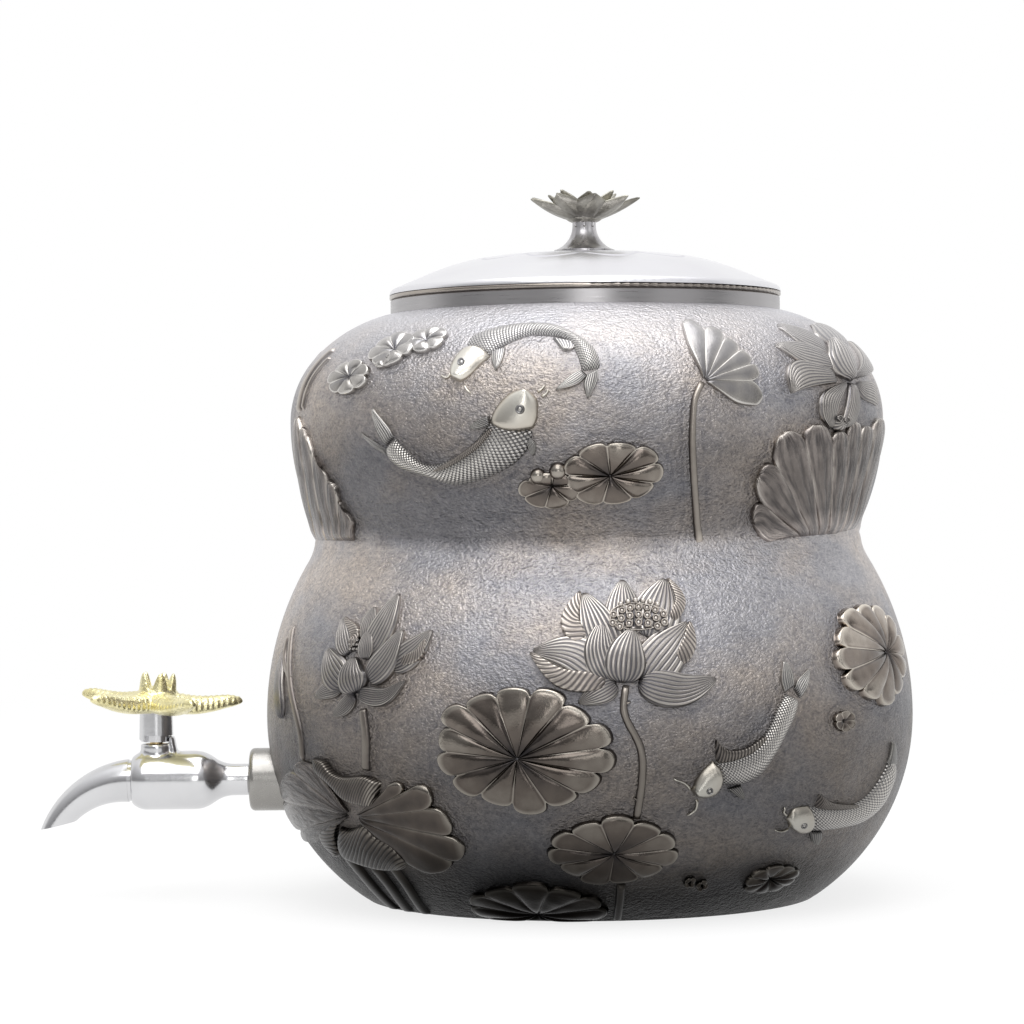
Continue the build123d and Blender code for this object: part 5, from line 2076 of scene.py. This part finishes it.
@dataclass
class KnobFlower:
    """The open lotus on the lid: two rows of pointed petals, a cup and a dark seed pod."""

    node: str = "knob_flower"
    reach: float = 26.2
    inner_reach: float = 0.62
    petal_width: float = 17.0
    inner_width: float = 12.5
    thickness: float = 1.0
    cup_thickness: float = 1.4
    root_rise: float = 0.7
    unevenness: float = 2.5
    pod_radius: float = 6.4
    seed_radius: float = 1.15
    seed_circle: float = 3.9

    def petal(self, low: float, root: float, reach: float, rise: float, width: float) -> Piece:
        """Models one petal that points along +X.

        Args:
            low: Height of its root, in millimetres.
            root: Distance of its root from the axis.
            reach: Distance of its tip from the axis.
            rise: Height of its tip above its root.
            width: Its greatest width.

        Returns:
            The petal.
        """
        piece, u, v = grid(12, 16)
        across = 2 * u - 1
        shape = (0.32 + 0.68 * np.sin(pi * np.clip(v, 0, 1) ** 0.8) ** 0.9) * (1 - v**5) + 0.02
        side = across * width / 2 * shape
        along = root + (reach - root) * (v - 0.06 * across**2 * v)
        ribs = 0.18 * np.cos(across * 3.5 * pi) * np.sin(pi * v)
        height = low + rise * (0.55 * v + 0.45 * v**2.2) + 2.6 * across**2 * np.sin(pi * v) ** 0.7 + ribs
        set_points(piece, np.stack([along, side, height], -1) * MM)
        apply_modifier(piece, "SOLIDIFY", thickness=self.thickness * MM, offset=0.0)
        return piece

    def row(self, count: int, first: float, petal: Piece) -> list[Piece]:
        """Copies a petal round the axis, each leaning a little differently.

        Args:
            count: How many petals the row has.
            first: The first petal's angle, in degrees.
            petal: The petal to copy, which is taken away.

        Returns:
            The copies.
        """
        row = [copy_of(petal) for _ in range(count)]
        for k, copy in enumerate(row):
            lean = Matrix.Rotation(radians(self.unevenness * sin(k * 2.7)), 4, "Y")
            copy.data.transform(Matrix.Rotation(radians(first + 360 * k / count), 4, "Z") @ lean)
        bpy.data.objects.remove(petal, do_unlink=True)
        return row

    def flower(self, foot: float, top: float) -> Piece:
        """Models the petals and their cup between two heights.

        Args:
            foot: Height of its underside, in millimetres.
            top: Height of its top, in millimetres.

        Returns:
            The petals and their cup.
        """
        rise = top - foot
        outer = self.petal(0.0, 4.0, self.reach, rise - 4.2, self.petal_width)
        inner = self.petal(0.6, 3.5, self.reach * self.inner_reach, rise - 2.4, self.inner_width)
        petals = self.row(9, 0.0, outer) + self.row(7, 20.0, inner)
        for piece in petals:
            shift(piece, 0, 0, foot + self.root_rise)
        cup, u, v = grid(40, 8)
        lathe(cup, u, 1.0 + 6.6 * np.sin(v * pi / 2), foot + self.root_rise + 2.4 * v**2)
        apply_modifier(cup, "SOLIDIFY", thickness=self.cup_thickness * MM, offset=-1.0)
        flower = join("knob_flower_petals", petals + [cup])
        apply_modifier(flower, "SUBSURF", levels=1, render_levels=1)
        smooth(flower, 60.0)
        return flower

    def seed_pod(self, top: float) -> Piece:
        """Models the pod with its seeds, one in the middle and six round it.

        Args:
            top: Height of its top, in millimetres.

        Returns:
            The pod with its seeds.
        """
        pod, u, v = grid(32, 8)
        lathe(pod, u, self.pod_radius * np.sin(v * pi * 0.62) + 0.4 * (1 - v), top - 4.6 - 6.2 * v**2)
        seeds = [pod]
        for k in range(7):
            radius = self.seed_radius * MM
            bpy.ops.mesh.primitive_uv_sphere_add(segments=12, ring_count=8, radius=radius)
            seed = bpy.context.object
            out = self.seed_circle if k else 0.0
            shift(seed, out * cos(k * pi / 3), out * sin(k * pi / 3), top - 5.0)
            seeds.append(seed)
        core = join("knob_seed_pod", seeds)
        smooth(core, 50.0)
        return core

    def build(self, material: Material, dark: Material) -> None:
        """Models the flower in place of its CAD node.

        Args:
            material: The petals' finish.
            dark: The seed pod's finish.
        """
        foot, top = foot_and_top(self.node)
        flower, core = self.flower(foot, top), self.seed_pod(top)
        dress(flower, material, "flower_metal", "lid", self.node)
        dress(core, dark, "flower_metal", "lid", self.node)


@dataclass
class StarHandle:
    """The starfish handle: five thick arms with nubbed edges and a crown of upright lobes."""

    node: str = "starfish_handle"
    axis_x: float = -202.267
    arms: int = 5
    turn: float = 12.0
    reach: float = 40.6
    root_width: float = 19.0
    root_height: float = 7.7
    nubs: int = 15
    nub_height: float = 0.42
    tilt: float = 3.0
    crown_rise: float = 7.0
    grain: float = 0.42
    rounds: int = 2

    def arm(self, foot: float) -> Piece:
        """Models one arm that points along +X.

        Args:
            foot: Height of the handle's underside, in millimetres.

        Returns:
            The arm.
        """
        piece, u, v = grid(28, 64)
        wide, high = np.cos(2 * pi * u), np.sin(2 * pi * u)
        end = np.sqrt(np.clip(1 - v**9, 0, 1))
        half = self.root_width / 2 * (1 - 0.66 * v**0.9) * end
        tall = self.root_height * (1 - 0.5 * v) * end
        nub = np.maximum(np.sin(v * self.nubs * 2 * pi), -0.2)
        edge = np.exp(-(((high - 0.05) / 0.42) ** 2))
        ridge = np.clip(high, 0, 1) ** 6
        swell = self.nub_height * nub * (edge * np.abs(wide) + ridge * 0.9) * np.clip(v * 6, 0, 1)
        rise = np.where(high > 0, np.abs(high) ** 0.8, -0.45 * np.abs(high) ** 0.9)
        lift = foot + 3.2 - 1.0 * np.sin(pi * np.clip(v * 1.25, 0, 1))
        lift = lift + 3.0 * np.clip(v - 0.4, 0, 1) ** 1.6 / 0.44
        height = lift + tall * rise + swell * np.clip(rise, 0, 1)
        along = 1.0 + (self.reach - 1.0) * v
        set_points(piece, np.stack([along, (half + swell) * wide, height], -1) * MM)
        weld(piece, outward=True)
        return piece

    def lobe(self, foot: float, top: float) -> Piece:
        """Models one upright, folded lobe of the crown.

        Args:
            foot: Height of its root, in millimetres.
            top: Height of its tip.

        Returns:
            The lobe.
        """
        piece, u, v = grid(20, 16)
        turn = 2 * pi * u
        taper = (1 - 0.5 * v) * np.sqrt(np.clip(1 - v**4, 0, 1))
        along = 6.0 + 1.4 * v + 2.6 * taper * np.cos(turn)
        side = 4.4 * taper * np.sin(turn) * (1 + 0.25 * np.cos(turn))
        fold = 0.5 * np.cos(3 * turn) * taper
        set_points(piece, np.stack([along + fold, side, foot + (top - foot) * v], -1) * MM)
        weld(piece, outward=True)
        return piece

    def hub(self, foot: float) -> Piece:
        """Models the rounded middle on which the arms meet.

        Args:
            foot: Height of its underside, in millimetres.

        Returns:
            The hub.
        """
        piece, u, v = grid(40, 14)
        steps = [0, 0.08, 0.5, 0.8, 1.0]
        radius = np.interp(v, steps, [0.0, 7.2, 10.4, 8.2, 0.0])
        lathe(piece, u, radius, foot + 0.4 + np.interp(v, steps, [0.0, 0.0, 5.0, 10.6, 12.4]))
        return piece

    def build(self, material: Material) -> None:
        """Models the handle in place of its CAD node.

        Args:
            material: Its finish.
        """
        foot, top = foot_and_top(self.node)
        arm, lobe = self.arm(foot), self.lobe(foot + self.crown_rise, top)
        pieces = []
        for k in range(self.arms):
            step = 360 // self.arms * k
            for part, turn in ((arm, self.turn + step), (lobe, step)):
                pieces.append(copy_of(part))
                spin(pieces[-1], turn)
        for part in (arm, lobe):
            bpy.data.objects.remove(part, do_unlink=True)
        star = join("starfish_cast", pieces + [self.hub(foot)])
        pivot = Matrix.Translation((0, 0, foot * MM))
        star.data.transform(pivot @ Matrix.Rotation(radians(self.tilt), 4, "Y") @ pivot.inverted())
        shift(star, self.axis_x, 0, 0)
        recast(star, self.grain, self.rounds)
        dress(star, material, "handle_brass", "tap_handle", self.node)


@dataclass
class TapCasting:
    """The tap's body with the soft corners of a casting."""

    node: str = "tap_body"
    grain: float = 0.5
    rounds: int = 18

    def build(self, frame: dict, material: Material) -> None:
        """Models the casting on a copy of its CAD node.

        Args:
            frame: The loaded frame.
            material: Its finish.
        """
        piece = copy_of(frame["nodes"][self.node], "tap_casting")
        weld(piece)
        recast(piece, self.grain, self.rounds)
        dress(piece, material, "tap_chrome", "vessel", self.node)


# Studio


@dataclass(frozen=True)
class Lamp:
    """One soft square lamp that faces the jar, with its width in metres and its power in watts."""

    name: str
    place: tuple[float, float, float]
    size: float
    power: float
    aim: tuple[float, float, float] = (0.0, 0.0, 0.16)

    def build(self) -> None:
        """Adds the lamp."""
        clear_selection()
        bpy.ops.object.light_add(type="AREA", location=self.place)
        lamp = bpy.context.object
        lamp.name = self.name
        lamp.data.energy = self.power
        lamp.data.size = self.size
        way = Vector(self.aim) - Vector(self.place)
        lamp.rotation_euler = way.to_track_quat("-Z", "Y").to_euler()


@dataclass(frozen=True)
class Studio:
    """Plain pale floor, white surroundings and soft lamps."""

    floor_size: float = 14.0
    floor_drop: float = 0.0005
    floor_glow: float = 0.8
    glow_start: float = 0.3
    glow_end: float = 1.6
    room_light: float = 1.6
    cool: float = 0.985
    room: tuple[tuple[float, float], ...] = (
        (-1.0, 0.04), (0.0, 0.14), (0.63, 0.47), (0.83, 0.66), (1.0, 1.0)
    )
    lamps: tuple[Lamp, ...] = (
        Lamp("key_lamp", (-0.2, -1.3, 1.7), 1.5, 17),
        Lamp("fill_lamp", (1.6, -1.2, 0.9), 1.2, 2.5),
        Lamp("front_lamp", (0.1, -2.6, 0.55), 0.8, 5),
        Lamp("top_lamp", (0.0, -0.1, 1.9), 1.4, 12.5),
    )

    def surround(self) -> None:
        """Puts a white sweep behind the jar and a room, bright above and dim in front, round it."""
        world = bpy.data.worlds.new("studio")
        bpy.context.scene.world = world
        world.use_nodes = True
        bench = Bench(world.node_tree)
        way = bench.axes(bench.add("TexCoord").outputs["Generated"])
        rungs = [((h + 1) / 2, (v * self.cool, v * self.cool, v)) for h, v in self.room]
        room = bench.ladder(bench.ramp(way["Z"], -1.0, 1.0), rungs)
        white = (1.0 / self.room_light,) * 3
        mixed = bench.mix(bench.ramp(way["Y"], -0.1, 0.25), room, white)
        seen = bench.mix(bench.add("LightPath").outputs["Is Camera Ray"], mixed, white)
        bench.feed(world.node_tree.nodes["Background"], {"Strength": self.room_light, "Color": seen})

    def floor_finish(self) -> Material:
        """Mixes a matt white that glows where the camera sees it, so that it runs into the room.

        Returns:
            The finished material.
        """
        bench = Bench.named("floor_white")
        colour = bench.mix(bench.noise(3.0, 2.0), (0.93, 0.93, 0.93), (0.9, 0.9, 0.9))
        bench.close(colour, 0.8, None, **{"Specular IOR Level": 0.1})
        rays = bench.add("LightPath").outputs
        shown = bench.plus(rays["Is Camera Ray"], rays["Is Glossy Ray"], True)
        shown = bench.plus(shown, rays["Is Transmission Ray"], True)
        far = bench.length(bench.place())
        share = bench.ramp(far, self.glow_start, self.glow_end, self.floor_glow, 1.0)
        glow = bench.add("Emission", {"Color": (1.0, 1.0, 1.0)}).outputs[0]
        matt = bench.tree.nodes["Principled BSDF"].outputs[0]
        mixed = bench.add("MixShader", {"Fac": bench.times(shown, share), 1: matt, 2: glow})
        bench.feed(bench.tree.nodes["Material Output"], {"Surface": mixed.outputs[0]})
        return bench.material

    def build(self) -> None:
        """Adds the floor, the surroundings and the lamps."""
        self.surround()
        clear_selection()
        bpy.ops.mesh.primitive_grid_add(x_subdivisions=8, y_subdivisions=8, size=self.floor_size)
        floor = bpy.context.object
        floor.name = "studio_floor"
        shift(floor, 0, 0, -self.floor_drop / MM)
        floor.data.materials.append(self.floor_finish())
        floor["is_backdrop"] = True
        for lamp in self.lamps:
            lamp.build()


# CAD pieces' finishes


def cad_finishes(patina: Material) -> dict[str, Material]:
    """Mixes the finish of every CAD node.

    Args:
        patina: The wall's finish.

    Returns:
        The finish of each node, by the node's name.
    """
    plain = PlainMetalFinish
    chrome = plain("tap_chrome", (0.68, 0.68, 0.69), (0.62, 0.62, 0.63), 0.18, 500.0, depth=0.00001)
    brass = plain(
        "star_brass", (0.9, 0.84, 0.53), (0.72, 0.65, 0.34), 0.3, 650.0, depth=0.0005, patch_scale=140.0
    )
    stem = plain(
        "knob_stem_metal", (0.62, 0.61, 0.62), (0.36, 0.35, 0.36), 0.28, 260.0, (1.0, 1.0, 0.08),
        0.0004, 150.0,
    )
    flower = plain(
        "flower_olive", (0.40, 0.385, 0.335), (0.2, 0.19, 0.165), 0.36, 420.0, depth=0.0003,
        patch_scale=110.0,
    )
    boss = plain("boss_metal", (0.37, 0.36, 0.34), (0.29, 0.28, 0.265), 0.28, 300.0, depth=0.00002)
    wearers = (
        (LidFinish(), ("lid_dome", "lid_skirt")),
        (spun("bright_collar", (0.42, 0.41, 0.415), (0.32, 0.31, 0.315), 0.3), ("neck_collar",)),
        (spun("warm_rim", (0.42, 0.38, 0.34), (0.3, 0.27, 0.24), 0.22), ("lid_rim",)),
        (
            plain("base_sheet", (0.4, 0.4, 0.4), (0.3, 0.3, 0.3), 0.4),
            ("base_plate", "knob_washer", "knob_bolt", "ferrule_set_screw"),
        ),
        (boss, ("tap_boss",)),
        (chrome, ("tap_body", "valve_ball", "tap_spout", "handle_ferrule")),
        (brass, ("starfish_handle",)),
        (plain("inner_brass", (0.75, 0.6, 0.33), (0.62, 0.48, 0.25), 0.3), ("spindle", "gland_nut")),
        (stem, ("knob_stem",)),
        (flower, ("knob_flower",)),
        (SoftFinish("seal_rubber", (0.03, 0.03, 0.03), 0.6), ("tap_seal", "spindle_ring")),
        (SoftFinish("seat_white", (0.85, 0.85, 0.83), 0.45), ("ball_seats",)),
        (Finish.LEAF.value, ("leaf_relief", "lotus_relief", "koi_relief")),
    )
    plan = {"lower_shell": patina, "upper_shell": patina}
    for finish, nodes in wearers:
        plan |= dict.fromkeys(nodes, finish.material())
    return plan


def dress_cad(frame: dict, plan: dict[str, Material]) -> None:
    """Gives every CAD node its finish.

    Args:
        frame: The loaded frame.
        plan: The finish of each node.
    """
    for name, node in frame["nodes"].items():
        node.data.materials.clear()
        node.data.materials.append(plan[name])
        LOG.info("%s has its finish", name)


def write_sizes(before: object) -> None:
    """Puts the CAD model's box and the visual model's box into plain lists, and keeps neither."""

    def plain(box: object) -> list[list[float]]:
        """Gives a box as plain lists."""
        return [[float(c) for c in corner] for corner in box]

    {"cad": plain(before), "visual": plain(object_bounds())}


def main() -> None:
    """Builds the whole scene in order."""
    logging.basicConfig(level=logging.INFO, format="%(name)s: %(message)s")
    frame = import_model()
    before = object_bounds()
    bpy.context.scene.view_settings.view_transform = "Standard"
    CAMERA.build()
    Studio().build()
    materials = {finish: finish.value.material() for finish in Finish}
    patina = materials[Finish.PATINA]
    plan = cad_finishes(patina)
    dress_cad(frame, plan)
    pod = PlainMetalFinish("seed_pod_dark", (0.1, 0.11, 0.11), (0.05, 0.06, 0.06), 0.4).material()
    KnobFlower().build(plan["knob_flower"], pod)
    StarHandle().build(plan["starfish_handle"])
    TapCasting().build(frame, plan["tap_body"])
    relief: list[Piece] = []
    for motif in lower_motifs() + upper_motifs():
        relief += motif.build(materials, (0.0, 180.0))
    points = relief_points(relief)
    WallSkin("lower_skin", 0.8, WALL.waist_height - 1.7).build(points, patina)
    WallSkin("upper_skin", WALL.waist_height + 1.7, WALL.top - 0.6, rows=130).build(points, patina)
    write_sizes(before)


if __name__ == "__main__":
    main()
